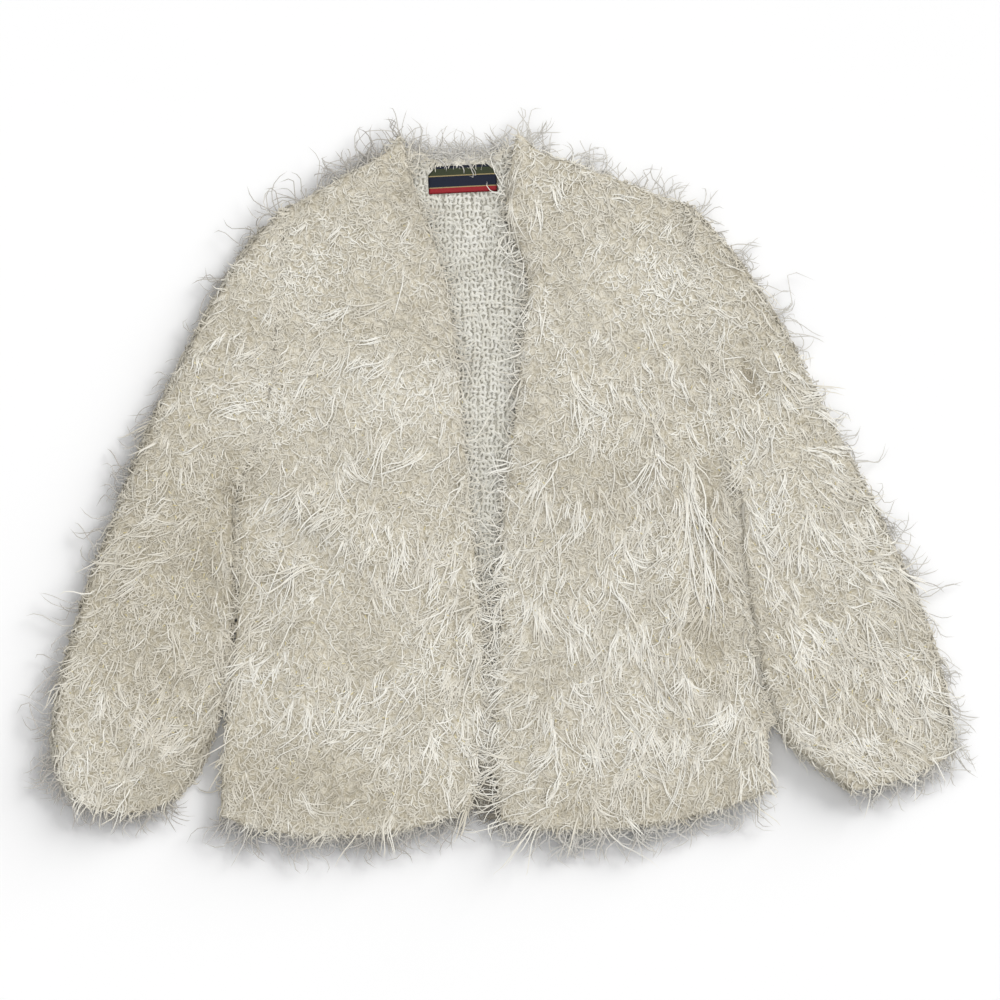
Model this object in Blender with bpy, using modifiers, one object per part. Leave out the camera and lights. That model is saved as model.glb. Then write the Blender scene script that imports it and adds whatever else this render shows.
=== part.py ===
"""Shaggy knit cardigan jacket, laid flat and face up.

Metres. +X points to the viewer's right, +Y from hem to neck, and the floor is z = 0.
Right and left are the wearer's, so the right front lies on the viewer's left.
"""

import random
from collections import namedtuple
from math import cos, exp, pi, sin

import bmesh
import bpy
from mathutils import Vector

MM = 0.001

# Driving dimensions
KNIT = 6 * MM  # wall of the chunky knit with its matted pile
SEAM = 0.3 * MM  # air between pieces that are sewn together
ARMHOLE_GAP = 0.4 * MM  # the same at the curved armhole
LOFT = 3.2 * MM  # most air between the back and a front
EDGE_ROUND = 1.8 * MM  # rounding of the knit's cut edges
UNDERARM = 0.5  # share of the way from hem to shoulder where the armhole starts
SLEEVE_HEIGHT = 15.6 * MM  # two walls and the air between them
CUFF_HEIGHT = 13.4 * MM
LABEL_SIZE = (62 * MM, 25 * MM, 0.8 * MM)
LABEL_CENTRE = (-33 * MM, 280 * MM)
LABEL_TILT = 0.05  # radians
LABEL_CUT = 8 * MM  # slanted upper corners
STRIP_GAP = 0.5 * MM  # air between a fringe backing and the knit's edge
STRIP_DEPTH = 2.4 * MM
STRIP_HEIGHT = 3.0 * MM
LOCK_ROOT = 4.0 * MM  # width of a lock where it leaves its backing
ARM_FRINGE_HEIGHT = 7.4 * MM  # middle of the sleeve's outer fold

# Front panels, hem to shoulder in equal steps. The upper half of the side is the armhole. Millimetres.
FrontRow = namedtuple("FrontRow", "edge_x edge_y side_x side_y")
RIGHT_FRONT = (
    FrontRow(-25, -286, -251, -294),
    FrontRow(-17, -226, -248, -235),
    FrontRow(-15, -167, -241, -175),
    FrontRow(-18, -107, -236, -116),
    FrontRow(-23, -47, -234, -57),
    FrontRow(-29, 13, -235, 3),
    FrontRow(-34, 72, -215, 50),
    FrontRow(-40, 132, -204, 100),
    FrontRow(-50, 192, -199, 152),
    FrontRow(-70, 252, -196, 203),
    FrontRow(-88, 311, -192, 252),
)
LEFT_FRONT = (
    FrontRow(2, -298, 246, -269),
    FrontRow(-4, -237, 241, -215),
    FrontRow(-2, -176, 232, -160),
    FrontRow(2, -115, 224, -106),
    FrontRow(3, -54, 217, -52),
    FrontRow(7, 7, 214, 3),
    FrontRow(15, 68, 202, 50),
    FrontRow(21, 129, 193, 100),
    FrontRow(26, 190, 186, 152),
    FrontRow(7, 251, 179, 204),
    FrontRow(15, 312, 171, 255),
)
HEM_DIP = {"right": 22 * MM, "left": 20 * MM}  # how far a front's hem hangs below its corners

# Back panel, right side to left: how far its top rises above the line between the shoulder points and how
# far its hem drops below the line between the side seams. Millimetres.
BackColumn = namedtuple("BackColumn", "share rise drop")
BACK = (
    BackColumn(0.000, 0, 0),
    BackColumn(0.100, 20, 14),
    BackColumn(0.190, 38, 19),
    BackColumn(0.285, 58, 18),
    BackColumn(0.330, 48, 16),
    BackColumn(0.380, 44, 13),
    BackColumn(0.430, 43, 8),
    BackColumn(0.480, 45, 4),
    BackColumn(0.530, 50, 15),
    BackColumn(0.570, 57, 21),
    BackColumn(0.650, 46, 26),
    BackColumn(0.740, 34, 25),
    BackColumn(0.830, 22, 21),
    BackColumn(0.920, 10, 13),
    BackColumn(1.000, 0, 0),
)
BACK_ROWS = 20

# Sleeves below the armhole, in equal steps to the cuff: both folded edges. Millimetres.
SleeveRow = namedtuple("SleeveRow", "outer_x outer_y inner_x inner_y")
RIGHT_SLEEVE = (
    SleeveRow(-224, 221, -240, -4),
    SleeveRow(-254, 174, -240, -24),
    SleeveRow(-287, 113, -239, -48),
    SleeveRow(-321, 42, -239, -76),
    SleeveRow(-348, -29, -240, -112),
    SleeveRow(-375, -101, -244, -157),
    SleeveRow(-395, -173, -251, -198),
    SleeveRow(-402, -226, -262, -232),
    SleeveRow(-398, -255, -274, -258),
    SleeveRow(-388, -275, -291, -278),
)
LEFT_SLEEVE = (
    SleeveRow(203, 221, 219, -9),
    SleeveRow(230, 185, 220, -34),
    SleeveRow(263, 131, 221, -63),
    SleeveRow(296, 65, 224, -95),
    SleeveRow(328, 6, 230, -131),
    SleeveRow(353, -48, 238, -172),
    SleeveRow(378, -102, 248, -203),
    SleeveRow(396, -155, 262, -230),
    SleeveRow(406, -203, 285, -248),
    SleeveRow(408, -239, 317, -272),
)
CUFF_BOW = {"right": 15 * MM, "left": 5 * MM}  # how far the middle of a cuff hangs past its corners
SLEEVE_RINGS = 22
BOTTOM_SIDES, TOP_SIDES, FOLD_SIDES = 6, 12, 4

# Largest folds, as soft ridges (rise above 0) and troughs along a line. Millimetres.
Fold = namedtuple("Fold", "start_x start_y end_x end_y width rise")
FOLDS = {
    "front_right": (
        Fold(-82, 300, -66, 235, 14, 3.5),
        Fold(-215, 25, -110, -70, 20, 3.0),
        Fold(-120, 170, -105, -150, 45, 2.0),
        Fold(-222, -60, -215, -230, 14, -2.0),
        Fold(-170, -90, -185, -250, 20, 2.5),
    ),
    "front_left": (
        Fold(14, 300, 18, 235, 15, 5.0),
        Fold(190, 125, 105, 10, 20, 2.5),
        Fold(152, 60, 160, -200, 22, 3.5),
        Fold(186, 45, 200, -190, 15, -2.6),
        Fold(70, 120, 60, -200, 40, 2.0),
    ),
    "sleeve_right": (
        Fold(-215, 60, -262, -40, 14, -2.2),
        Fold(-265, -60, -282, -160, 13, -2.4),
        Fold(-300, 60, -335, -120, 26, 2.0),
        Fold(-355, -215, -330, -262, 9, -1.8),
        Fold(-310, -225, -312, -268, 9, 1.5),
    ),
    "sleeve_left": (
        Fold(206, 120, 243, 40, 12, -2.4),
        Fold(236, 80, 262, -60, 20, 2.0),
        Fold(262, -60, 300, -170, 14, -2.2),
        Fold(310, 20, 355, -130, 26, 2.0),
        Fold(372, -185, 378, -232, 9, -1.8),
    ),
}

# Fringe, one backing for each edge: number of locks, shortest and longest lock, and height of the tips.
Fringe = namedtuple("Fringe", "locks shortest longest tip")
FRINGES = {
    "hem": Fringe(20, 13 * MM, 23 * MM, 2 * MM),
    "cuff": Fringe(8, 10 * MM, 18 * MM, 2 * MM),
    "arm": Fringe(19, 10 * MM, 21 * MM, 3 * MM),
    "shoulder": Fringe(10, 15 * MM, 28 * MM, 3 * MM),
    "edge": Fringe(9, 7 * MM, 13 * MM, 9 * MM),
    "neck": Fringe(7, 15 * MM, 25 * MM, 4 * MM),
}

# Colours, linear
IVORY = (0.66, 0.62, 0.53, 1.0)
LASH_WHITE = (0.76, 0.73, 0.66, 1.0)
LABEL_NAVY = (0.02, 0.03, 0.07, 1.0)

for old in list(bpy.data.objects):
    bpy.data.objects.remove(old)

jacket = bpy.data.collections.new("shaggy_knit_cardigan")
bpy.context.scene.collection.children.link(jacket)
chance = random.Random(11)


# Shared helpers
def smooth_through(values, share):
    """Catmull-Rom curve through evenly spaced values, at a share from 0 to 1."""
    spans = len(values) - 1
    i = min(int(share * spans), spans - 1)
    f = share * spans - i
    a, b, c, d = (values[min(max(i + k, 0), spans)] for k in (-1, 0, 1, 2))
    return b + 0.5 * f * (c - a + f * (2 * a - 5 * b + 4 * c - d + f * (3 * (b - c) + d - a)))


def fade(share):
    """1 at share 0, falling smoothly to 0 at share 1 and beyond."""
    return max(0.0, 1.0 - share) ** 2


def fold_height(name, point):
    """Sum of a piece's ridges and troughs at a point: a bell across each fold, tapering to its ends."""
    height = 0.0
    for fold in FOLDS[name]:
        start = Vector((fold.start_x, fold.start_y)) * MM
        along = Vector((fold.end_x, fold.end_y)) * MM - start
        share = (point - start).dot(along) / along.length_squared
        across = (point - start - along * share).length
        past_end = max(0.0, abs(share - 0.5) - 0.35) * along.length
        height += fold.rise * MM * exp(-(across**2 + past_end**2) / (fold.width * MM) ** 2)
    return height


def knit_material(name, colour, roughness):
    material = bpy.data.materials.new(name)
    material.use_nodes = True
    shader = material.node_tree.nodes["Principled BSDF"]
    shader.inputs["Base Color"].default_value = colour
    shader.inputs["Roughness"].default_value = roughness
    shader.inputs["Metallic"].default_value = 0.0
    return material


def add_piece(name, bm, colour, roughness):
    mesh = bpy.data.meshes.new(name)
    bm.to_mesh(mesh)
    bm.free()
    mesh.materials.append(knit_material(name, colour, roughness))
    piece = bpy.data.objects.new(name, mesh)
    jacket.objects.link(piece)
    return piece


def sheet(columns, rows, place):
    """Open grid whose corners are put at place(column, row)."""
    bm = bmesh.new()
    bmesh.ops.create_grid(bm, x_segments=columns, y_segments=rows, size=1.0)
    for vert in bm.verts:
        column = round((vert.co.x + 1) / 2 * columns)
        row = round((vert.co.y + 1) / 2 * rows)
        vert.co = place(column, row)
    return bm


def add_panel(name, bm):
    """Raise an open sheet into a wall of knit and round its cut edges."""
    top = bmesh.ops.extrude_face_region(bm, geom=bm.faces[:], use_keep_orig=True)["geom"]
    for vert in (item for item in top if isinstance(item, bmesh.types.BMVert)):
        vert.co.z += KNIT
    bmesh.ops.recalc_face_normals(bm, faces=bm.faces[:])
    piece = add_piece(name, bm, IVORY, 0.85)
    bevel = piece.modifiers.new("round", "BEVEL")
    bevel.width = EDGE_ROUND
    bevel.segments = 2
    bevel.limit_method = "ANGLE"
    bevel.angle_limit = 1.0


# Boundaries of the body
BODY = {"right": RIGHT_FRONT, "left": LEFT_FRONT}
EDGES = {side: [Vector((row.edge_x, row.edge_y)) * MM for row in rows] for side, rows in BODY.items()}
SIDES = {side: [Vector((row.side_x, row.side_y)) * MM for row in rows] for side, rows in BODY.items()}
UNDERARM_ROW = round(UNDERARM * (len(RIGHT_FRONT) - 1))


def side_point(side, share):
    """Side seam, then armhole, from hem to shoulder point."""
    if share <= UNDERARM:
        return smooth_through(SIDES[side][: UNDERARM_ROW + 1], share / UNDERARM)
    return smooth_through(SIDES[side][UNDERARM_ROW:], (share - UNDERARM) / (1 - UNDERARM))


# Back
def back_point(column, row):
    """Underside of the back, flat on the floor: shaped shoulders and neck above, a hanging hem below."""
    share = row / BACK_ROWS
    place = side_point("right", share).lerp(side_point("left", share), BACK[column].share)
    place.y += BACK[column].rise * MM * fade((1 - share) / 0.5)
    place.y -= BACK[column].drop * MM * fade(share / 0.3)
    return place.to_3d()


def add_back():
    add_panel("back", sheet(len(BACK) - 1, BACK_ROWS, back_point))


# Fronts
FRONT_COLUMNS, FRONT_ROWS = 15, 28


def front_plan(side, across, share):
    """Point of a front seen from above, from its open edge across to its side."""
    plan = smooth_through(EDGES[side], share).lerp(side_point(side, share), across)
    plan.y -= HEM_DIP[side] * (1 - abs(2 * across - 1) ** 2.6) * fade(share / 0.3)
    return plan


def front_point(side, column, row):
    """Underside of a front: flat on the back along its edges and loose in between."""
    across = column / FRONT_COLUMNS
    share = row / FRONT_ROWS
    plan = front_plan(side, across, share)
    armhole = sin(pi * (share - UNDERARM) / (1 - UNDERARM)) if share > UNDERARM else 0.0
    loose = sin(pi * across) ** 0.7 * sin(pi * (0.06 + 0.9 * share)) ** 0.7
    loose = max(loose, armhole * across**2)
    lift = LOFT * loose + fold_height(f"front_{side}", plan) * (0.35 + 0.65 * loose)
    return Vector((plan.x, plan.y, KNIT + SEAM + max(0.0, lift)))


def add_front(side):
    bm = sheet(FRONT_COLUMNS, FRONT_ROWS, lambda column, row: front_point(side, column, row))
    add_panel(f"front_{side}", bm)


# Sleeves
SLEEVES = {"right": RIGHT_SLEEVE, "left": LEFT_SLEEVE}
AWAY = {"right": Vector((-1, 0)), "left": Vector((1, 0))}  # from the body towards the sleeve
RING_SIDES = BOTTOM_SIDES + TOP_SIDES + 2 * FOLD_SIDES


def sleeve_edges(side, share):
    """Outer and inner folded edge of a sleeve, from armhole to cuff."""
    seam = AWAY[side] * ARMHOLE_GAP
    outer = [side_point(side, 1.0) + seam]
    outer += [Vector((row.outer_x, row.outer_y)) * MM for row in SLEEVES[side]]
    inner = [side_point(side, UNDERARM) + seam]
    inner += [Vector((row.inner_x, row.inner_y)) * MM for row in SLEEVES[side]]
    return smooth_through(outer, share), smooth_through(inner, share)


def sleeve_plan(side, across, share):
    """Point between a sleeve's edges: the armhole's curve at one end and the cuff's bow at the other."""
    outer, inner = sleeve_edges(side, share)
    chord = side_point(side, 1.0).lerp(side_point(side, UNDERARM), across)
    curve = side_point(side, 1.0 + (UNDERARM - 1.0) * across) - chord
    plan = outer.lerp(inner, across) + curve * fade(share / 0.35)
    down = (inner - outer).orthogonal().normalized()
    if down.y > 0:
        down.negate()
    return plan + down * CUFF_BOW[side] * 4 * across * (1 - across) * fade((1 - share) / 0.25)


def ring_profile(width, height, inset):
    """Flattened tube in section, or its inside at an inset: level below and above, round at both folds."""
    middle = height / 2
    radius = middle - inset
    flat = width - height
    points = [(middle + flat * k / BOTTOM_SIDES, inset) for k in range(BOTTOM_SIDES)]
    for k in range(FOLD_SIDES):
        turn = pi * (k / FOLD_SIDES - 0.5)
        points.append((width - middle + radius * cos(turn), middle + radius * sin(turn)))
    points += [(width - middle - flat * k / TOP_SIDES, height - inset) for k in range(TOP_SIDES)]
    for k in range(FOLD_SIDES):
        turn = pi * (k / FOLD_SIDES + 0.5)
        points.append((middle + radius * cos(turn), middle + radius * sin(turn)))
    return points


def sleeve_point(side, column, row):
    """Rows run down the outside from armhole to cuff, back up the inside and close at the armhole."""
    row %= 2 * SLEEVE_RINGS + 2
    inside = row > SLEEVE_RINGS
    share = (2 * SLEEVE_RINGS + 1 - row if inside else row) / SLEEVE_RINGS
    outer, inner = sleeve_edges(side, share)
    width = (inner - outer).length
    height = CUFF_HEIGHT + (SLEEVE_HEIGHT - CUFF_HEIGHT) * min(1.0, (1 - share) / 0.2)
    reach, level = ring_profile(width, height, KNIT if inside else 0.0)[column % RING_SIDES]
    plan = sleeve_plan(side, reach / width, share)
    if level > height / 2:
        level += fold_height(f"sleeve_{side}", plan) * sin(pi * reach / width) ** 0.5
    return Vector((plan.x, plan.y, level))


def add_sleeve(side):
    rows = 2 * SLEEVE_RINGS + 2
    bm = sheet(RING_SIDES, rows, lambda column, row: sleeve_point(side, column, row))
    bmesh.ops.remove_doubles(bm, verts=bm.verts[:], dist=0.00001)
    bmesh.ops.recalc_face_normals(bm, faces=bm.faces[:])
    add_piece(f"sleeve_{side}", bm, IVORY, 0.85)


# Neck label
def add_label():
    width, depth, thick = LABEL_SIZE
    corners = (
        (-width / 2, -depth / 2),
        (width / 2, -depth / 2),
        (width / 2, depth / 2 - LABEL_CUT),
        (width / 2 - LABEL_CUT, depth / 2),
        (-width / 2 + LABEL_CUT, depth / 2),
        (-width / 2, depth / 2 - LABEL_CUT),
    )
    outline = bpy.data.curves.new("label", "CURVE")
    outline.dimensions = "2D"
    outline.fill_mode = "BOTH"
    outline.extrude = thick / 2
    spline = outline.splines.new("POLY")
    spline.points.add(len(corners) - 1)
    spline.use_cyclic_u = True
    for point, corner in zip(spline.points, corners):
        point.co = (*corner, 0.0, 1.0)
    outline.materials.append(knit_material("label", LABEL_NAVY, 0.6))
    piece = bpy.data.objects.new("label", outline)
    piece.location = (*LABEL_CENTRE, KNIT + SEAM + thick / 2)
    piece.rotation_euler.z = LABEL_TILT
    jacket.objects.link(piece)


# Fringe
def walk(path, distance):
    """Point at a distance along a line of points."""
    for start, end in zip(path, path[1:]):
        step = (end - start).length
        if distance <= step:
            return start.lerp(end, distance / step)
        distance -= step
    return path[-1].copy()


def add_fringe(name, kind, path):
    """Narrow backing along an edge, with some faces of its outer side drawn out into locks.

    The path runs so that the fringe points to its right.
    """
    fringe = FRINGES[kind]
    corners = [0.0]
    for start, end in zip(path, path[1:]):
        corners.append(corners[-1] + (end - start).length)
    total = corners[-1]
    pitch = (total - LOCK_ROOT) / (fringe.locks - 1)
    roots = [number * pitch for number in range(fringe.locks)]
    bends = [at for at in corners if all(abs(at - root - LOCK_ROOT / 2) > LOCK_ROOT for root in roots)]
    marks = sorted(roots + [root + LOCK_ROOT for root in roots] + bends)

    def outward(distance):
        forward = walk(path, min(distance + 4 * MM, total)) - walk(path, max(distance - 4 * MM, 0.0))
        return Vector((forward.y, -forward.x, 0.0)).normalized()

    bm = bmesh.new()
    bmesh.ops.create_grid(bm, x_segments=len(marks) - 1, y_segments=1, size=1.0)
    front = bmesh.ops.extrude_face_region(bm, geom=bm.faces[:], use_keep_orig=True)["geom"]
    for vert in (item for item in front if isinstance(item, bmesh.types.BMVert)):
        vert.co.z = 1.0
    outer_faces = [item for item in front if isinstance(item, bmesh.types.BMFace)]
    outer_faces.sort(key=lambda face: face.calc_center_median().x)
    for vert in bm.verts:
        distance = marks[round((vert.co.x + 1) / 2 * (len(marks) - 1))]
        reach = STRIP_GAP + STRIP_DEPTH * vert.co.z
        height = vert.co.y * STRIP_HEIGHT / 2
        vert.co = walk(path, distance) + outward(distance) * reach + Vector((0, 0, height))

    for mark, face in zip(marks, outer_faces):
        if mark not in roots:
            continue
        out = outward(mark + LOCK_ROOT / 2)
        aside = Vector((-out.y, out.x, 0.0))
        root = face.calc_center_median()
        length = chance.uniform(fringe.shortest, fringe.longest)
        lean = chance.uniform(-0.22, 0.22) * min(length, pitch)
        rise = chance.uniform(1 * MM, 8 * MM)
        for step, width, lift in ((0.5, 0.7, rise), (1.0, 0.3, fringe.tip - root.z)):
            face = bmesh.ops.extrude_discrete_faces(bm, faces=[face])["faces"][0]
            centre = face.calc_center_median()
            target = root + out * length * step + aside * lean * step + Vector((0, 0, lift))
            for vert in face.verts:
                vert.co = target + (vert.co - centre) * width
    bmesh.ops.recalc_face_normals(bm, faces=bm.faces[:])
    add_piece(name, bm, LASH_WHITE, 0.45)


def hem_path(side):
    columns = range(FRONT_COLUMNS - 1, 0, -1) if side == "right" else range(1, FRONT_COLUMNS)
    return [front_point(side, column, 0) + Vector((0, 0, KNIT / 2)) for column in columns]


def shoulder_path(side):
    columns = range(1, FRONT_COLUMNS) if side == "right" else range(FRONT_COLUMNS - 1, 0, -1)
    return [front_point(side, column, FRONT_ROWS) + Vector((0, 0, KNIT / 2)) for column in columns]


def edge_path(side):
    rows = range(13, 25) if side == "right" else range(24, 12, -1)
    return [front_point(side, 0, row) + Vector((0, 0, KNIT / 2)) for row in rows]


def arm_path(side):
    rings = range(1, SLEEVE_RINGS) if side == "right" else range(SLEEVE_RINGS - 1, 0, -1)
    up = Vector((0, 0, ARM_FRINGE_HEIGHT))
    return [sleeve_plan(side, 0.0, ring / SLEEVE_RINGS).to_3d() + up for ring in rings]


def cuff_path(side):
    shares = range(1, 10) if side == "right" else range(9, 0, -1)
    up = Vector((0, 0, CUFF_HEIGHT - KNIT / 2))
    return [sleeve_plan(side, share / 10, 1.0).to_3d() + up for share in shares]


def neck_path():
    columns = range(8, 3, -1)
    return [back_point(column, BACK_ROWS) + Vector((0, 0, KNIT / 2)) for column in columns]


add_back()
add_label()
for wearer_side in ("right", "left"):
    add_front(wearer_side)
    add_sleeve(wearer_side)
    add_fringe(f"fringe_hem_{wearer_side}", "hem", hem_path(wearer_side))
    add_fringe(f"fringe_shoulder_{wearer_side}", "shoulder", shoulder_path(wearer_side))
    add_fringe(f"fringe_edge_{wearer_side}", "edge", edge_path(wearer_side))
    add_fringe(f"fringe_arm_{wearer_side}", "arm", arm_path(wearer_side))
    add_fringe(f"fringe_cuff_{wearer_side}", "cuff", cuff_path(wearer_side))
add_fringe("fringe_neck", "neck", neck_path())
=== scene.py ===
# %% [markdown]
# # A shaggy knit cardigan jacket, laid flat
# The jacket is hand-knit in ivory eyelash yarn: a core yarn that makes the stitches, with hundreds of
# fine tails standing out of it. It lies face up, open in front, with both sleeves beside the body. This
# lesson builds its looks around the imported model: knit walls for the cloth, then the pile and the long
# lashes on them. Right and left are the wearer's, so the right front lies on the viewer's left.

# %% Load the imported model
from collections import namedtuple

import bpy
import numpy as np
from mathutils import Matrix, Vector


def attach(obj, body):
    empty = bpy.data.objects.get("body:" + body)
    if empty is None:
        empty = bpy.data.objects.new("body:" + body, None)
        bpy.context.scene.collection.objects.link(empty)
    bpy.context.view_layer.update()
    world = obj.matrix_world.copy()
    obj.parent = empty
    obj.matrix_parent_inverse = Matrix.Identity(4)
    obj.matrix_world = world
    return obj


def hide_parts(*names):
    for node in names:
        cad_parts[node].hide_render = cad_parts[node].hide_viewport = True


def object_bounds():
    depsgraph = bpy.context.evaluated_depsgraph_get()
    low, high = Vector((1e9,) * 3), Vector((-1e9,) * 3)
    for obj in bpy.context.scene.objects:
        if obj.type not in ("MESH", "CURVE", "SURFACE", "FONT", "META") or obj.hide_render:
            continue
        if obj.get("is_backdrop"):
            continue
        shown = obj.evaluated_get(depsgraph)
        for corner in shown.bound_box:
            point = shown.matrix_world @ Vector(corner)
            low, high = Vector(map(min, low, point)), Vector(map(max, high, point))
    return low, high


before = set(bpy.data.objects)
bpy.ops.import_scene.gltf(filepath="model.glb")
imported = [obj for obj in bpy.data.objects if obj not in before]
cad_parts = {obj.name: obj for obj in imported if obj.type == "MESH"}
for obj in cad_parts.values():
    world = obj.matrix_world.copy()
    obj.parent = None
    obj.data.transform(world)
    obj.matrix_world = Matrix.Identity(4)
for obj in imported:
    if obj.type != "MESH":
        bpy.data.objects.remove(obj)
cad_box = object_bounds()
MM = 0.001
SIDES = ("right", "left")
UP = np.array((0.0, 0.0, 1.0))
HEMWARD = np.array((0.0, -1.0, 0.0))
chance = np.random.default_rng(20)
print("nodes:", ", ".join(sorted(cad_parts)))

# %% [markdown]
# ## Camera and light
# The picture looks straight down on the jacket from well above, so a long lens is enough and nothing is
# tilted. The light is a studio set: one light overhead for all, a low one from the upper right that gives
# the floor its soft shadow on the lower left, and a broad one from the same side for the jacket. A single
# low light would do for both, but the lashes would get its hard shading. An even white surround keeps the
# gaps between them pale.

# %% Camera and light
PICTURE_SIDE = 0.9  # metres of jacket across the picture
PICTURE_MIDDLE = (0.0009, -0.0099)
CLOTH_LEVEL = 0.014  # height of the surface that the picture's scale holds at
LENS, SENSOR = 85.0, 36.0
SURROUND = 0.26  # strength of the white surround


def add_object(name, data):
    """New object at the scene's origin."""
    made = bpy.data.objects.new(name, data)
    bpy.context.scene.collection.objects.link(made)
    return made


camera_data = bpy.data.cameras.new("overhead")
camera_data.lens = LENS
camera_data.sensor_width = SENSOR
camera = add_object("overhead", camera_data)
camera.location = (*PICTURE_MIDDLE, CLOTH_LEVEL + PICTURE_SIDE * LENS / SENSOR)
bpy.context.scene.camera = camera

world = bpy.data.worlds.new("light tent")
world.use_nodes = True
background = world.node_tree.nodes["Background"]
background.inputs["Color"].default_value = (1.0, 1.0, 1.0, 1.0)
background.inputs["Strength"].default_value = SURROUND
bpy.context.scene.world = world

Light = namedtuple("Light", "name come_from energy angle floor_link")
LIGHTS = (
    Light("overhead light", (0.10, 0.15, 1.0), 1.0, 1.7, None),
    Light("low light on the floor", (0.75, 0.62, 0.34), 4.7, 0.55, "INCLUDE"),
    Light("broad light on the jacket", (0.75, 0.60, 1.1), 1.9, 2.2, "EXCLUDE"),
)
lights = {}
for lamp in LIGHTS:
    light_data = bpy.data.lights.new(lamp.name, "SUN")
    light_data.energy = lamp.energy
    light_data.angle = lamp.angle
    light = add_object(lamp.name, light_data)
    light.location = lamp.come_from
    light.rotation_mode = "QUATERNION"
    light.rotation_quaternion = light.location.to_track_quat("Z", "Y")
    lights[lamp.name] = light
bpy.context.scene.view_settings.view_transform = "Standard"
print("camera height:", round(camera.location.z, 3), "lights:", len(lights))

# %% [markdown]
# ## Writing shader maths as Python
# A material is a graph of nodes, but a formula reads better as a formula. The small class below wraps one
# output of a node. Arithmetic on it adds Math nodes, and its add method adds any other node.


# %% A socket that can be calculated with
class Shade:
    """One value in a material's node tree."""

    def __init__(self, tree, socket=None):
        self.tree = tree
        self.socket = socket

    def add(self, kind, settings=None, sockets=None, out=0):
        """Add a node: its settings first, then the values or links of its sockets."""
        node = self.tree.nodes.new(kind)
        for name, value in (settings or {}).items():
            if name == "stops":
                ramp = node.color_ramp.elements
                while len(ramp) < len(value):
                    ramp.new(0.5)
                for element, (place, colour) in zip(ramp, value):
                    element.position = place
                    element.color = (*colour, 1.0)
            elif name == "interpolation":
                node.color_ramp.interpolation = value
            else:
                setattr(node, name, value)
        for key, value in (sockets or {}).items():
            if isinstance(value, Shade):
                self.tree.links.new(value.socket, node.inputs[key])
            else:
                node.inputs[key].default_value = value
        return Shade(self.tree, node.outputs[out])

    def maths(self, operation, one, two=0.0):
        """Math node on one value or two."""
        return self.add("ShaderNodeMath", {"operation": operation}, {0: one, 1: two})

    def noise(self, place, scale, detail=2.0, out=0, **more):
        """Smooth noise around 0.5, or three such values as a colour from out 1."""
        sockets = {"Vector": place, "Scale": scale, "Detail": detail, **more}
        return self.add("ShaderNodeTexNoise", None, sockets, out)

    def ramp(self, value, stops, interpolation="LINEAR"):
        """Colour that a ramp of stops has at a value."""
        settings = {"stops": stops, "interpolation": interpolation}
        return self.add("ShaderNodeValToRGB", settings, {"Fac": value})

    def product(self, one, two):
        """One colour times another."""
        settings = {"data_type": "RGBA", "blend_type": "MULTIPLY"}
        return self.add("ShaderNodeMix", settings, {0: 1.0, 6: one, 7: two}, out=2)

    def axes(self, place):
        """First and second number of a place."""
        first = self.add("ShaderNodeSeparateXYZ", None, {"Vector": place})
        return first, Shade(self.tree, first.socket.node.outputs[1])

    def __add__(self, other):
        return self.maths("ADD", self, other)

    def __sub__(self, other):
        return self.maths("SUBTRACT", self, other)

    def __rsub__(self, other):
        return self.maths("SUBTRACT", other, self)

    def __mul__(self, other):
        return self.maths("MULTIPLY", self, other)

    __radd__ = __add__
    __rmul__ = __mul__


def new_finish(name, roughness, **constants):
    """A Principled material: its tree as a Shade, and a function that links the values that vary."""
    material = bpy.data.materials.new(name)
    material.use_nodes = True
    tree = material.node_tree
    shader = tree.nodes["Principled BSDF"]
    shader.inputs["Roughness"].default_value = roughness
    for key, value in constants.items():
        shader.inputs[key.replace("_", " ")].default_value = value

    def link(key, shade):
        tree.links.new(shade.socket, shader.inputs[key])

    return material, Shade(tree), link


# %% [markdown]
# ## Floor
# The jacket lies on a plain white surface. A curved backdrop would serve a standing object, but under
# something flat one wide sheet is enough. The lights that are meant for the floor or for the jacket alone
# are linked here.

# %% Floor
FLOOR_HALF = 40.0
FLOOR_LEVEL = -0.2 * MM
FLOOR_TONES = ((0.0, (0.93, 0.93, 0.93)), (1.0, (0.95, 0.95, 0.95)))
FLOOR_CORNERS = ((-1, -1), (1, -1), (1, 1), (-1, 1))
floor_points = [(x * FLOOR_HALF, y * FLOOR_HALF, FLOOR_LEVEL) for x, y in FLOOR_CORNERS]
floor_mesh = bpy.data.meshes.new("floor")
floor_mesh.from_pydata(floor_points, [], [(0, 1, 2, 3)])
floor_finish, shade, link = new_finish("pale floor", 0.9, Specular_IOR_Level=0.0)
grain = shade.noise(shade.add("ShaderNodeTexCoord", out=3), 3.0)
link("Base Color", shade.ramp(grain, FLOOR_TONES))
floor_mesh.materials.append(floor_finish)
floor = add_object("floor", floor_mesh)
floor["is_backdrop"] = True
for lamp in LIGHTS:
    if lamp.floor_link:
        receivers = bpy.data.collections.new(lamp.name)
        receivers.objects.link(floor)
        receivers.collection_objects[0].light_linking.link_state = lamp.floor_link
        lights[lamp.name].light_linking.receiver_collection = receivers
print("linked lights:", [lamp.name for lamp in LIGHTS if lamp.floor_link])

# %% [markdown]
# ## The cut of the jacket
# Each panel is drawn by two lines, each through a few points: a front by its open edge and its side, a
# sleeve by its two folded edges. A surface between them is a function of two shares, one across and one
# along, so the walls, the stitches and every lash can ask the same function where the cloth is.

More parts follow.
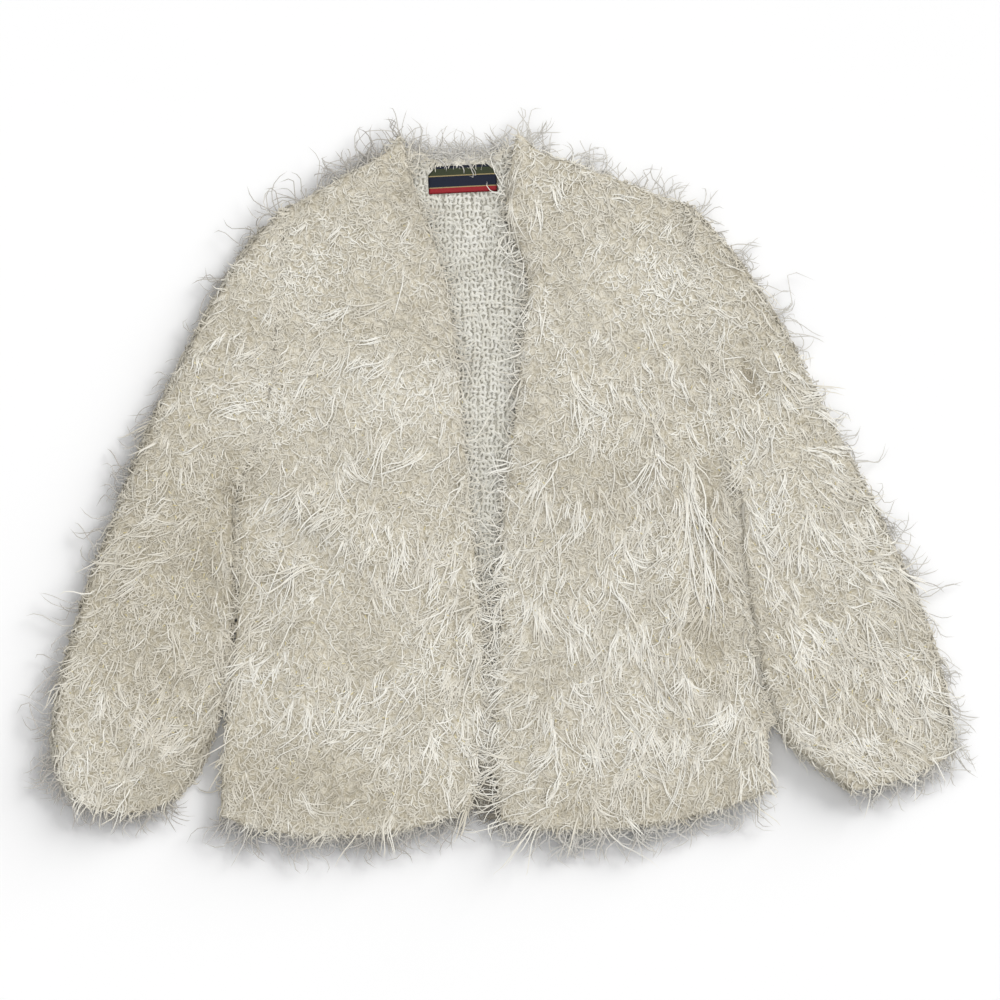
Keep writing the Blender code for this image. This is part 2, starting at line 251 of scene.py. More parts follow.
# %% Sizes and lines of the cut
KNIT = 6 * MM  # wall of knit and matted pile
SEAM = 0.3 * MM
ARMHOLE_GAP = 0.1 * MM
LOFT = 3.2 * MM  # most air between the back and a front
UNDERARM = 0.5  # share of the way from hem to shoulder
SLEEVE_HEIGHT, CUFF_HEIGHT = 15.6 * MM, 13.4 * MM
HEM_DIP = {"right": 22 * MM, "left": 20 * MM}
NECK_PEAK, PEAK_INSET, PEAK_HALF_WIDTH = 9 * MM, 6 * MM, 15 * MM  # each front stands up beside the neck
CUFF_BOW = {"right": 15 * MM, "left": 5 * MM}
AWAY = {"right": np.array((-1.0, 0.0)), "left": np.array((1.0, 0.0))}

# Fronts from hem to shoulder, in equal steps. Millimetres.
FrontRow = namedtuple("FrontRow", "edge_x edge_y side_x side_y")
FRONT = {
    "right": (
        FrontRow(-25, -286, -251, -294),
        FrontRow(-17, -226, -248, -235),
        FrontRow(-15, -167, -241, -175),
        FrontRow(-18, -107, -236, -116),
        FrontRow(-23, -47, -234, -57),
        FrontRow(-29, 13, -235, 3),
        FrontRow(-34, 72, -215, 50),
        FrontRow(-40, 132, -204, 100),
        FrontRow(-50, 192, -199, 152),
        FrontRow(-70, 252, -196, 203),
        FrontRow(-88, 311, -192, 252),
    ),
    "left": (
        FrontRow(2, -298, 246, -269),
        FrontRow(-4, -237, 241, -215),
        FrontRow(-2, -176, 232, -160),
        FrontRow(2, -115, 224, -106),
        FrontRow(3, -54, 217, -52),
        FrontRow(7, 7, 214, 3),
        FrontRow(15, 68, 202, 50),
        FrontRow(21, 129, 193, 100),
        FrontRow(26, 190, 186, 152),
        FrontRow(7, 251, 179, 204),
        FrontRow(15, 312, 171, 255),
    ),
}
# Sleeves below the armhole, in equal steps to the cuff. Millimetres.
SleeveRow = namedtuple("SleeveRow", "outer_x outer_y inner_x inner_y")
SLEEVE = {
    "right": (
        SleeveRow(-224, 221, -240, -4),
        SleeveRow(-254, 174, -240, -24),
        SleeveRow(-287, 113, -239, -48),
        SleeveRow(-321, 42, -239, -76),
        SleeveRow(-348, -29, -240, -112),
        SleeveRow(-375, -101, -244, -157),
        SleeveRow(-395, -173, -251, -198),
        SleeveRow(-402, -226, -262, -232),
        SleeveRow(-398, -255, -274, -258),
        SleeveRow(-388, -275, -291, -278),
    ),
    "left": (
        SleeveRow(203, 221, 219, -9),
        SleeveRow(230, 185, 220, -34),
        SleeveRow(263, 131, 221, -63),
        SleeveRow(296, 65, 224, -95),
        SleeveRow(328, 6, 230, -131),
        SleeveRow(353, -48, 238, -172),
        SleeveRow(378, -102, 248, -203),
        SleeveRow(396, -155, 262, -230),
        SleeveRow(406, -203, 285, -248),
        SleeveRow(408, -239, 317, -272),
    ),
}
# Back, right side to left: rise of its top above the shoulder points and drop of its hem. Millimetres.
BackColumn = namedtuple("BackColumn", "share rise drop")
BACK = (
    BackColumn(0.000, 0, 0),
    BackColumn(0.100, 20, 14),
    BackColumn(0.190, 38, 19),
    BackColumn(0.285, 58, 18),
    BackColumn(0.330, 48, 16),
    BackColumn(0.380, 44, 13),
    BackColumn(0.430, 43, 8),
    BackColumn(0.480, 45, 4),
    BackColumn(0.530, 50, 15),
    BackColumn(0.570, 57, 21),
    BackColumn(0.650, 46, 26),
    BackColumn(0.740, 34, 25),
    BackColumn(0.830, 22, 21),
    BackColumn(0.920, 10, 13),
    BackColumn(1.000, 0, 0),
)
# Folds and creases: soft ridges (rise above 0) and troughs along a line. Millimetres.
Fold = namedtuple("Fold", "start_x start_y end_x end_y width rise")
FOLDS = {
    "front_right": (
        Fold(-82, 300, -66, 235, 14, 3.5),
        Fold(-215, 25, -110, -70, 20, 3.0),
        Fold(-120, 170, -105, -150, 45, 2.0),
        Fold(-222, -60, -215, -230, 14, -2.0),
        Fold(-170, -90, -185, -250, 20, 2.5),
        Fold(-195, 60, -140, 90, 9, 1.2),
        Fold(-60, -120, -75, -260, 16, 1.4),
        Fold(-205, -20, -150, -75, 8, -1.4),
    ),
    "front_left": (
        Fold(14, 300, 18, 235, 15, 5.0),
        Fold(190, 125, 105, 10, 20, 2.5),
        Fold(152, 60, 160, -200, 22, 3.5),
        Fold(186, 45, 200, -190, 15, -2.6),
        Fold(70, 120, 60, -200, 40, 2.0),
        Fold(178, 80, 130, 30, 8, -1.4),
        Fold(110, -60, 100, -250, 14, 1.3),
        Fold(40, -180, 50, -280, 12, 1.2),
    ),
    "sleeve_right": (
        Fold(-215, 60, -262, -40, 14, -2.2),
        Fold(-265, -60, -282, -160, 13, -2.4),
        Fold(-300, 60, -335, -120, 26, 2.0),
        Fold(-355, -215, -330, -262, 9, -1.8),
        Fold(-310, -225, -312, -268, 9, 1.5),
    ),
    "sleeve_left": (
        Fold(214, 122, 246, 64, 10, -3.4),
        Fold(236, 80, 262, -60, 20, 2.0),
        Fold(262, -60, 300, -170, 14, -2.2),
        Fold(310, 20, 355, -130, 26, 2.0),
        Fold(372, -185, 378, -232, 9, -1.8),
    ),
}
print("rows of the cut:", {side: len(FRONT[side]) + len(SLEEVE[side]) for side in SIDES})

# %% Curves through the cut
EDGE_LINE = {side: np.array([row[:2] for row in rows]) * MM for side, rows in FRONT.items()}
SIDE_LINE = {side: np.array([row[2:] for row in rows]) * MM for side, rows in FRONT.items()}
UNDERARM_ROW = round(UNDERARM * (len(FRONT["right"]) - 1))


def through(points, share):
    """Catmull-Rom curve through evenly spaced points, at shares from 0 to 1."""
    points = np.asarray(points, float)
    share = np.asarray(share, float)
    spans = len(points) - 1
    start = np.clip((share * spans).astype(int), 0, spans - 1)
    step = (share * spans - start)[..., None]
    a, b, c, d = (points[np.clip(start + k, 0, spans)] for k in (-1, 0, 1, 2))
    return b + 0.5 * step * (c - a + step * (2 * a - 5 * b + 4 * c - d + step * (3 * (b - c) + d - a)))


def fade(share):
    """1 at share 0, falling smoothly to 0 at share 1 and beyond: the square of what is left."""
    return np.clip(1 - share, 0, None) ** 2


def between(start, end, share):
    """Straight from start to end by a share."""
    return start + (end - start) * np.asarray(share)[..., None]


def with_level(plan, level):
    """Plan points at a height."""
    return np.concatenate((plan, np.broadcast_to(level, plan.shape[:-1])[..., None]), axis=-1)


def side_point(side, share):
    """Side seam up to the underarm, then the armhole up to the shoulder point."""
    share = np.asarray(share, float)
    seam = through(SIDE_LINE[side][: UNDERARM_ROW + 1], np.clip(share / UNDERARM, 0, 1))
    hole = through(SIDE_LINE[side][UNDERARM_ROW:], np.clip((share - UNDERARM) / (1 - UNDERARM), 0, 1))
    return np.where((share <= UNDERARM)[..., None], seam, hole)


print("shoulder points:", [side_point(side, 1.0).round(3).tolist() for side in SIDES])

# %% [markdown]
# ## Folds and painted shading
# Laid cloth keeps soft folds. The pile also gets patches of painted light and painted shade: lighter where
# light falls on it, darker in the shade of folds, along the hem and on the sleeve away from the light. A
# cloth simulation would give folds by chance. Here both are short lists of places, read by functions that
# add up bells.

# %% Folds and painted shading
FOLD_REACH = 0.35  # how far from its middle a fold keeps its full rise, as a share of its length
DEEP_FROM, DEEP_SPAN = 2.4 * MM, 0.9 * MM  # depth a trough gets painted shade from, and the way to its darkest

# Patches of painted light (shift above 0) and painted shade on the pile and the ground. Millimetres.
PaintedPatch = namedtuple("PaintedPatch", "x y half_width half_height shift")
PAINTED_PATCHES = (
    PaintedPatch(-320, -95, 75, 150, -0.25),
    PaintedPatch(-258, -60, 22, 60, -0.16),
    PaintedPatch(-215, -255, 55, 40, -0.20),
    PaintedPatch(-165, 195, 95, 60, 0.02),
    PaintedPatch(-100, 88, 65, 42, 0.12),
    PaintedPatch(-224, 70, 28, 45, 0.10),
    PaintedPatch(103, 3, 48, 42, -0.14),
    PaintedPatch(80, 140, 60, 70, 0.10),
    PaintedPatch(190, -60, 15, 75, -0.45),
    PaintedPatch(172, -112, 17, 34, -0.22),
    PaintedPatch(190, -156, 17, 36, -0.14),
    PaintedPatch(238, -10, 24, 55, 0.14),
    PaintedPatch(298, -185, 60, 60, -0.08),
    PaintedPatch(110, 205, 80, 65, 0.06),
    PaintedPatch(-130, -285, 110, 22, -0.16),
    PaintedPatch(130, -285, 130, 22, -0.12),
    PaintedPatch(-238, 2, 14, 34, -0.35),
)


def fold_rise(name, plan):
    """Sum of ridges and troughs at plan points: a bell across each fold that dies away past its ends."""
    rise = 0.0
    for fold in FOLDS[name]:
        start = np.array((fold.start_x, fold.start_y)) * MM
        line = np.array((fold.end_x, fold.end_y)) * MM - start
        share = (plan - start) @ line / (line @ line)
        off = np.linalg.norm(plan - start - share[..., None] * line, axis=-1)
        past = np.clip(np.abs(share - 0.5) - FOLD_REACH, 0, None) * np.linalg.norm(line)
        rise = rise + fold.rise * MM * np.exp(-(off**2 + past**2) / (fold.width * MM) ** 2)
    return rise


def hollow(name, points):
    """How deep in a deep trough points lie, from 0 to 1. Shallow troughs count for nothing."""
    return np.clip((-fold_rise(name, points[:, :2]) - DEEP_FROM) / DEEP_SPAN, 0, 1)


def painted_patch_shading(points):
    """Painted light and shade at points: the sum of the patches' bells."""
    shift = 0.0
    for painted_patch in PAINTED_PATCHES:
        x = (points[..., 0] / MM - painted_patch.x) / painted_patch.half_width
        y = (points[..., 1] / MM - painted_patch.y) / painted_patch.half_height
        shift = shift + painted_patch.shift * np.exp(-(x**2) - y**2)
    return shift


print("folds:", sum(len(folds) for folds in FOLDS.values()), "patches:", len(PAINTED_PATCHES))

# %% [markdown]
# ## Walls of knit
# Under the pile there is cloth: a wall as thick as the knit with its matted roots, thinning to nothing at
# a rounded edge. Solidify could thicken a sheet, but its edge would stay square. So a wall is worked out
# as an upper and a lower grid that share their outline, which gives one closed skin. Rows and columns
# crowd towards the edges, where the rounding needs them.

# %% Building meshes from arrays
Skin = namedtuple("Skin", "points faces uv shading", defaults=(None, None))


def grid_faces(numbers):
    """Four-cornered faces of a grid of vertex numbers."""
    corners = (numbers[:-1, :-1], numbers[:-1, 1:], numbers[1:, 1:], numbers[1:, :-1])
    return np.stack(corners, axis=-1).reshape(-1, 4)


def add_piece(name, skin, finish, nap=None):
    """Mesh object from a skin: its points and faces, and its map and shading normals where it has them.

    Painted light and shade, one value for each point, becomes an attribute that the knit ground's finish
    reads.
    """
    points, faces, uv, shading = skin
    mesh = bpy.data.meshes.new(name)
    mesh.vertices.add(len(points))
    mesh.vertices.foreach_set("co", np.ascontiguousarray(points, np.float32).ravel())
    mesh.loops.add(faces.size)
    mesh.loops.foreach_set("vertex_index", np.ascontiguousarray(faces, np.int32).ravel())
    mesh.polygons.add(len(faces))
    mesh.polygons.foreach_set("loop_start", np.arange(0, faces.size, faces.shape[1], dtype=np.int32))
    mesh.update(calc_edges=True)
    mesh.polygons.foreach_set("use_smooth", np.ones(len(faces), bool))
    if uv is not None:
        layer = mesh.uv_layers.new(name="OFBake")
        layer.data.foreach_set("uv", np.ascontiguousarray(uv[faces.ravel()], np.float32).ravel())
    if nap is not None:
        values = mesh.attributes.new("nap", "FLOAT", "POINT").data
        values.foreach_set("value", np.ascontiguousarray(nap, np.float32))
    mesh.validate()
    if shading is not None:
        mesh.normals_split_custom_set_from_vertices(shading)
    mesh.materials.append(finish)
    piece = add_object(name, mesh)
    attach(piece, "root")
    print(f"{name}: {len(points)} points, {len(faces)} faces")
    return piece


def crowded(columns, rows):
    """Grid of shares from 0 to 1 that crowd towards both ends, as the shadow of even steps on an arch."""
    return np.meshgrid(*(0.5 - 0.5 * np.cos(np.pi * np.linspace(0, 1, count)) for count in (columns, rows)))


def closed_wall(upper, lower, flip=False):
    """Skin from two grids with the same outline: the lower one shares the upper one's outer points."""
    rows, columns = upper.shape[:2]
    above = np.arange(rows * columns).reshape(rows, columns)
    below = above.copy()
    inner = np.arange((rows - 2) * (columns - 2)).reshape(rows - 2, columns - 2)
    below[1:-1, 1:-1] = rows * columns + inner
    points = np.concatenate((upper.reshape(-1, 3), lower[1:-1, 1:-1].reshape(-1, 3)))
    faces = np.concatenate((grid_faces(above), grid_faces(below)[:, ::-1]))
    return Skin(points, faces[:, ::-1] if flip else faces)


def sheet_area(skin):
    """Half of a wall's skin: each face's area is half the cross product of its diagonals."""
    a, b, c, d = (skin.points[skin.faces[:, k]] for k in range(4))
    return 0.5 * np.linalg.norm(np.cross(c - a, d - b), axis=1).sum() / 2


# %% Surfaces of the fronts
EDGE_ROUND, SEAM_ROUND = 5 * MM, 0.3 * MM
FRONT_WIDTH, FRONT_LENGTH = 0.23, 0.6
HEM_SHARE, HEM_POWER = 0.3, 2.6  # how far up the hem's curve is felt, and how flat it is in the middle
NECK_SHARE = 0.1  # how far down the neck's peak is felt
LOOSE_FROM, LOOSE_SPAN, LOOSE_POWER = 0.06, 0.9, 0.7  # where along the front the cloth lies loose
FOLD_AT_EDGE = 0.35  # share of a fold's rise that is left at the edges


def edge_swell(across, share, width, length):
    """How much of a wall's thickness is left near its outline: a quarter circle over the last millimetres.

    Beside an armhole the wall meets the sleeve, so there it is cut off square.
    """
    side_round = np.where(share > UNDERARM, SEAM_ROUND, EDGE_ROUND)
    inward = np.minimum(np.minimum(across * width, share * length), (1 - share) * length) / EDGE_ROUND
    depth = np.clip(np.minimum(inward, (1 - across) * width / side_round), 0, 1)
    return np.sqrt(1 - (1 - depth) ** 2)


def front_plan(side, across, share):
    """Between open edge and side, with the hem hanging in a flat curve and a small peak at the neck."""
    plan = between(through(EDGE_LINE[side], share), side_point(side, share), across)
    dip = HEM_DIP[side] * (1 - np.abs(2 * across - 1) ** HEM_POWER) * fade(share / HEM_SHARE)
    bell = np.exp(-(((across * FRONT_WIDTH - PEAK_INSET) / PEAK_HALF_WIDTH) ** 2))
    peak = NECK_PEAK * bell * fade((1 - share) / NECK_SHARE)
    return plan + np.stack((np.zeros_like(dip), peak - dip), axis=-1)


def front_middle(side, across, share):
    """Middle of a front's wall: lying on the back, loose in between its edges, with its folds."""
    plan = front_plan(side, across, share)
    hole = np.sin(np.pi * np.clip((share - UNDERARM) / (1 - UNDERARM), 0, 1))
    arch = np.clip(np.sin(np.pi * across), 0, None) ** LOOSE_POWER
    loose = arch * np.sin(np.pi * (LOOSE_FROM + LOOSE_SPAN * np.clip(share, 0, 1))) ** LOOSE_POWER
    loose = np.maximum(loose, hole * across**2)
    folds = fold_rise(f"front_{side}", plan) * (FOLD_AT_EDGE + (1 - FOLD_AT_EDGE) * loose)
    return with_level(plan, 1.5 * KNIT + SEAM + np.clip(LOFT * loose + folds, 0, None))


def front_face(side, across, share, face=1):
    """Upper (face 1) or lower (face -1) side of a front."""
    point = front_middle(side, across, share)
    point[..., 2] += face * KNIT / 2 * edge_swell(across, share, FRONT_WIDTH, FRONT_LENGTH)
    return point


# %% Surface of the back
INSIDE_LEVEL = 3.4 * MM  # top of the back's ground, under the stitches that show in the open front
BACK_WIDTH, BACK_LENGTH = 0.45, 0.6
NECK_FADE = 0.5  # how far down the shape of shoulders and neck is felt
back_shares, back_rises, back_drops = np.array(BACK).T * ((1.0,), (MM,), (MM,))


def back_face(across, share, face=1):
    """Flat panel on the floor with shaped shoulders, neck and hem."""
    plan = between(side_point("right", share), side_point("left", share), across)
    rise = np.interp(across, back_shares, back_rises) * fade((1 - share) / NECK_FADE)
    drop = np.interp(across, back_shares, back_drops) * fade(share / HEM_SHARE)
    swell = edge_swell(across, share, BACK_WIDTH, BACK_LENGTH)
    level = INSIDE_LEVEL / 2 * (1 + face * swell)
    return np.stack((plan[..., 0], plan[..., 1] + rise - drop, level), axis=-1)


# %% Surfaces of the sleeves
FOLD_TURN = 0.1  # share of the way round that each folded edge takes
ARMHOLE_SHARE, CUFF_SHARE = 0.35, 0.25  # how far the armhole's curve and the cuff's bow are felt
CUFF_TAPER = 0.2  # share of the sleeve over which its height sinks to the cuff's


def sleeve_edges(side, share):
    """Outer and inner folded edges from armhole to cuff."""
    seam = AWAY[side] * ARMHOLE_GAP
    rows = np.array(SLEEVE[side]) * MM
    outer = np.concatenate(((side_point(side, 1.0) + seam)[None], rows[:, :2]))
    inner = np.concatenate(((side_point(side, UNDERARM) + seam)[None], rows[:, 2:]))
    return through(outer, share), through(inner, share)


def sleeve_plan(side, across, share):
    """Between the folded edges: the armhole's curve at one end and the cuff's bow at the other."""
    outer, inner = sleeve_edges(side, share)
    chord = between(side_point(side, 1.0), side_point(side, UNDERARM), across)
    curve = side_point(side, 1.0 + (UNDERARM - 1.0) * across) - chord
    plan = between(outer, inner, across) + curve * fade(share / ARMHOLE_SHARE)[..., None]
    line = inner - outer
    down = np.stack((line[..., 1], -line[..., 0]), axis=-1)
    down = down / np.linalg.norm(down, axis=-1, keepdims=True)
    down = np.where(down[..., 1:] > 0, -down, down)
    bow = CUFF_BOW[side] * 4 * across * (1 - across) * fade((1 - share) / CUFF_SHARE)
    return plan + down * bow[..., None]


def sleeve_face(side, turn, share, inset=0.0):
    """Flattened tube: turn goes along the underside, round the inner fold, back over the top, round."""
    outer, inner = sleeve_edges(side, share)
    width = np.linalg.norm(inner - outer, axis=-1)
    height = CUFF_HEIGHT + (SLEEVE_HEIGHT - CUFF_HEIGHT) * np.clip((1 - share) / CUFF_TAPER, 0, 1)
    middle = height / 2
    radius = middle - inset
    flat = width - height
    turn = np.mod(turn, 1.0)
    half = 0.5 - FOLD_TURN
    near = np.pi * ((turn - half) / FOLD_TURN - 0.5)
    far = np.pi * ((turn - 0.5 - half) / FOLD_TURN + 0.5)
    stretches = [turn < half, turn < 0.5, turn < 0.5 + half]
    under = middle + flat * turn / half
    round_inner = width - middle + radius * np.cos(near)
    over = width - middle - flat * (turn - 0.5) / half
    reach = np.select(stretches, [under, round_inner, over], middle + radius * np.cos(far))
    heights = [inset + 0 * turn, middle + radius * np.sin(near), height - inset]
    level = np.select(stretches, heights, middle + radius * np.sin(far))
    across = reach / width
    plan = sleeve_plan(side, across, share)
    arch = np.sqrt(np.clip(np.sin(np.pi * across), 0, None))
    return with_level(plan, level + np.where(level > middle, fold_rise(f"sleeve_{side}", plan) * arch, 0.0))


# %% [markdown]
# ## Finish of the knit ground
# Between the curls and lashes the cloth is a mat of smaller curls, too fine to build strand by strand.
# Points at a set distance from scattered middles lie on little rings, which look like such curls once
# their places are swayed. Two layers of rings and one of finer fuzz, the contour lines of a smooth noise,
# lie over the darker tan of the stitches' pits, which are the peaks of two crossed waves, a stitch wide and
# a row high. These darker tones are partly the yarn's tan and partly painted shade in the pits and between
# the curls. The same value is bump. Slow noise makes the cloth lighter and darker in places, and an
# attribute adds patches of painted light and painted shade.

# %% Knit ground
STITCH_WIDTH, STITCH_ROW = 7.4 * MM, 6.2 * MM
SWAY = (5 * MM,) * 3  # how far the curls' places are pushed about
# The dark ends are for pits and the ground between curls: partly the yarn's tan, partly painted shade.
GROUND_TONES = ((0.0, (0.44, 0.395, 0.30)), (0.4, (0.605, 0.56, 0.455)), (0.85, (0.79, 0.75, 0.65)))
INSIDE_GROUND = ((0.0, (0.41, 0.39, 0.335)), (0.35, (0.54, 0.52, 0.46)), (0.9, (0.68, 0.66, 0.595)))


def near_zero(shade, value, width):
    """1 where a value is 0, falling to 0 where it is a width away."""
    off = shade.maths("ABSOLUTE", value)
    sockets = {"Value": off, "From Min": 0.0, "From Max": width, "To Min": 1.0, "To Max": 0.0}
    return shade.add("ShaderNodeMapRange", None, sockets)


def fuzz_lines(shade, place, scale, width):
    """Winding lines: where a smooth noise passes its middle value."""
    return near_zero(shade, shade.noise(place, scale, 1.5, Distortion=0.6) - 0.5, width)


def curl_rings(shade, place, scale, radius, width):
    """Little rings: a set distance from scattered middles."""
    distance = shade.add("ShaderNodeTexVoronoi", None, {"Vector": place, "Scale": scale, "Randomness": 1.0})
    return near_zero(shade, distance - radius, width)


def knit_ground(name, slant, tones):
    """Ivory knit: curls and fuzz over stitch pits, tinted by slow noise. The slant follows the rows."""
    material, shade, link = new_finish(name, 0.92, Specular_IOR_Level=0.15)
    place = shade.add("ShaderNodeTexCoord", out=3)
    turned = shade.add("ShaderNodeMapping", None, {"Vector": place, "Rotation": (0.0, 0.0, slant)})
    wander = shade.noise(turned, 60.0, 3.0)
    columns, rows = shade.axes(turned)
    wale = shade.maths("SINE", columns * (np.pi / STITCH_WIDTH) + wander * 7.0)
    course = shade.maths("SINE", rows * (np.pi / STITCH_ROW) + wander * 6.0)
    pits = shade.maths("ABSOLUTE", wale * course)
    push = shade.noise(place, 170.0, out=1)
    swayed = shade.add("ShaderNodeVectorMath", {"operation": "MULTIPLY_ADD"}, {0: push, 1: SWAY, 2: turned})
    large = curl_rings(shade, swayed, 190.0, 0.38, 0.2)
    small = curl_rings(shade, swayed, 290.0, 0.36, 0.22)
    fine = fuzz_lines(shade, place, 420.0, 0.07)
    lines = shade.maths("MAXIMUM", large, shade.maths("MAXIMUM", small * 0.85, fine * 0.55))
    # Curls high and pits low; the ramp makes low relief darker, partly the yarn's tan and partly painted
    # shade.
    relief = lines * 0.75 + 0.06 - pits * pits * 0.12
    tint = shade.noise(place, 14.0, 3.0)
    clump = shade.noise(place, 60.0)
    # Patches of painted light and painted shade, from the attribute that add_piece writes.
    painted_patch = shade.add("ShaderNodeAttribute", {"attribute_name": "nap"}, out=2)
    tone = relief + (tint - 0.5) * 0.25 + (clump - 0.5) * 0.5 + painted_patch
    link("Base Color", shade.ramp(tone, tones))
    bump = {"Height": relief, "Strength": 0.3, "Distance": 0.6 * MM}
    link("Normal", shade.add("ShaderNodeBump", None, bump))
    return material


body_ground = knit_ground("knit ground body", 0.0, GROUND_TONES)
inside_ground = knit_ground("knit ground inside", 0.0, INSIDE_GROUND)
sleeve_ground = {
    "right": knit_ground("knit ground right sleeve", 0.28, GROUND_TONES),
    "left": knit_ground("knit ground left sleeve", -0.38, GROUND_TONES),
}
print("grounds:", [finish.name for finish in (body_ground, inside_ground, *sleeve_ground.values())])

# %% Walls of the body
FRONT_GRID, BACK_GRID = (42, 84), (44, 60)  # columns and rows
cloth, cloth_area = {}, {}


def add_cloth(name, skin, finish, nap=None):
    """Piece of cloth, kept by name with its area."""
    cloth[name] = add_piece(f"{name}_knit", skin, finish, nap=nap)
    cloth_area[name] = sheet_area(skin)


across, share = crowded(*BACK_GRID)
add_cloth("back", closed_wall(back_face(across, share, 1), back_face(across, share, -1)), inside_ground)
across, share = crowded(*FRONT_GRID)
for side in SIDES:
    upper, lower = (front_face(side, across, share, face) for face in (1, -1))
    wall = closed_wall(upper, lower, side == "right")
    add_cloth(f"front_{side}", wall, body_ground, painted_patch_shading(wall.points))

# %% Walls of the sleeves
SLEEVE_RINGS, SLEEVE_SIDES = 64, 44
WALL_STEPS = 6  # rows that round the cloth's end at armhole and cuff


def sleeve_wall(side):
    """Closed tube wall: down the outside, over the rounded cuff end, up the inside, round to the start."""
    down = np.linspace(0, 1, SLEEVE_RINGS)
    lip = np.linspace(0, np.pi, WALL_STEPS + 2)[1:-1]
    share = np.concatenate((down, np.ones(WALL_STEPS), down[::-1], np.zeros(WALL_STEPS)))
    depth = 0.5 * KNIT * (1 - np.cos(lip))
    inset = np.concatenate((np.zeros(SLEEVE_RINGS), depth, np.full(SLEEVE_RINGS, KNIT), depth[::-1]))
    turns, shares = np.meshgrid(np.arange(SLEEVE_SIDES) / SLEEVE_SIDES, share)
    insets = np.repeat(inset[:, None], SLEEVE_SIDES, axis=1)
    points = sleeve_face(side, turns, shares, insets)
    numbers = np.arange(points.shape[0] * SLEEVE_SIDES).reshape(-1, SLEEVE_SIDES)
    faces = grid_faces(np.pad(numbers, ((0, 1), (0, 1)), mode="wrap"))
    return Skin(points.reshape(-1, 3), faces[:, ::-1] if side == "left" else faces)


for side in SIDES:
    wall = sleeve_wall(side)
    add_cloth(f"sleeve_{side}", wall, sleeve_ground[side], painted_patch_shading(wall.points))
print({name: round(area, 4) for name, area in cloth_area.items()})

# %% [markdown]
# ## Strands
# Every curl of pile and every lash is a thin closed strand of three sides that tapers to a point.
# Blender's hair could grow them, but it isn't a mesh, so a reusable part would lose it. All strands of a
# piece are computed together: a root on the cloth, a heading in the cloth's plane, an arc in that plane
# that turns by some angle, and an arch above it. One strand is a couple of dozen triangles, so tens of
# thousands fit. A strand this thin would be lit as a hard wire. Its shading normals lean towards the
# cloth's own, and then it looks as soft as fur.

# %% Middle lines
LOW_CORNER = np.array((-437, -349, 1.0)) * MM  # no strand reaches past these corners
HIGH_CORNER = np.array((441, 344, 28)) * MM
LEAST_TURN = 1e-3  # an arc has to turn a little, because its angle is divided by


def unit(vectors):
    """Vectors at length one."""
    return vectors / np.maximum(np.linalg.norm(vectors, axis=-1, keepdims=True), 1e-12)


def facing(direction, count):
    """The same direction for each of many strands."""
    return np.broadcast_to(direction, (count, 3))


def headed(normal, base, angle):
    """Directions in the cloth's plane: a base direction turned by an angle about the normal."""
    flat = unit(base - normal * (base * normal).sum(axis=-1, keepdims=True))
    return unit(flat * np.cos(angle)[:, None] + np.cross(normal, flat) * np.sin(angle)[:, None])


def grow(root, normal, heading, length, turn, sway, lift, rest, stations):
    """Middle lines of strands: a circular arc along the cloth with a sway, an arch above it, a tip at rest.

    Every line keeps clear of the floor and inside the part's reach.
    """
    share = np.linspace(0, 1, stations)[None, :]
    turn = np.where(np.abs(turn) < LEAST_TURN, LEAST_TURN, turn)[:, None]
    ahead = np.sin(turn * share) / turn * length[:, None]
    arc = (1 - np.cos(turn * share)) / turn
    aside = (arc + sway[:, None] * np.sin(2 * np.pi * share)) * length[:, None]
    above = 4 * lift[:, None] * share * (1 - share) + rest[:, None] * share**1.5
    cross = np.cross(normal, heading)
    lines = (
        root[:, None]
        + heading[:, None] * ahead[..., None]
        + cross[:, None] * aside[..., None]
        + normal[:, None] * above[..., None]
    )
    return np.clip(lines, LOW_CORNER, HIGH_CORNER)


def drift(points, size, seed):
    """Slow field, mostly from -1 to 1: a sum of waves with random headings, none shorter than size."""
    waves = np.random.default_rng(seed)
    heading = waves.uniform(0, 2 * np.pi, 9)
    number = 2 * np.pi / (size * waves.uniform(1.0, 2.4, 9))
    push = np.stack((np.cos(heading), np.sin(heading))) * number
    return np.cos(points[..., :2] @ push + waves.uniform(0, 2 * np.pi, 9)).sum(axis=-1) / 3.0


# %% Skins of strands
SOFTENING = 0.7  # share of the cloth's own direction in a strand's shading
UPWARD_SHADING = 0.6  # least upward part of that direction
ACROSS_STRANDS = np.array((0.13, 0.07, 1.0))  # a direction that no strand follows
TONE_STEP = 0.004  # keeps a strand's corners apart in the map


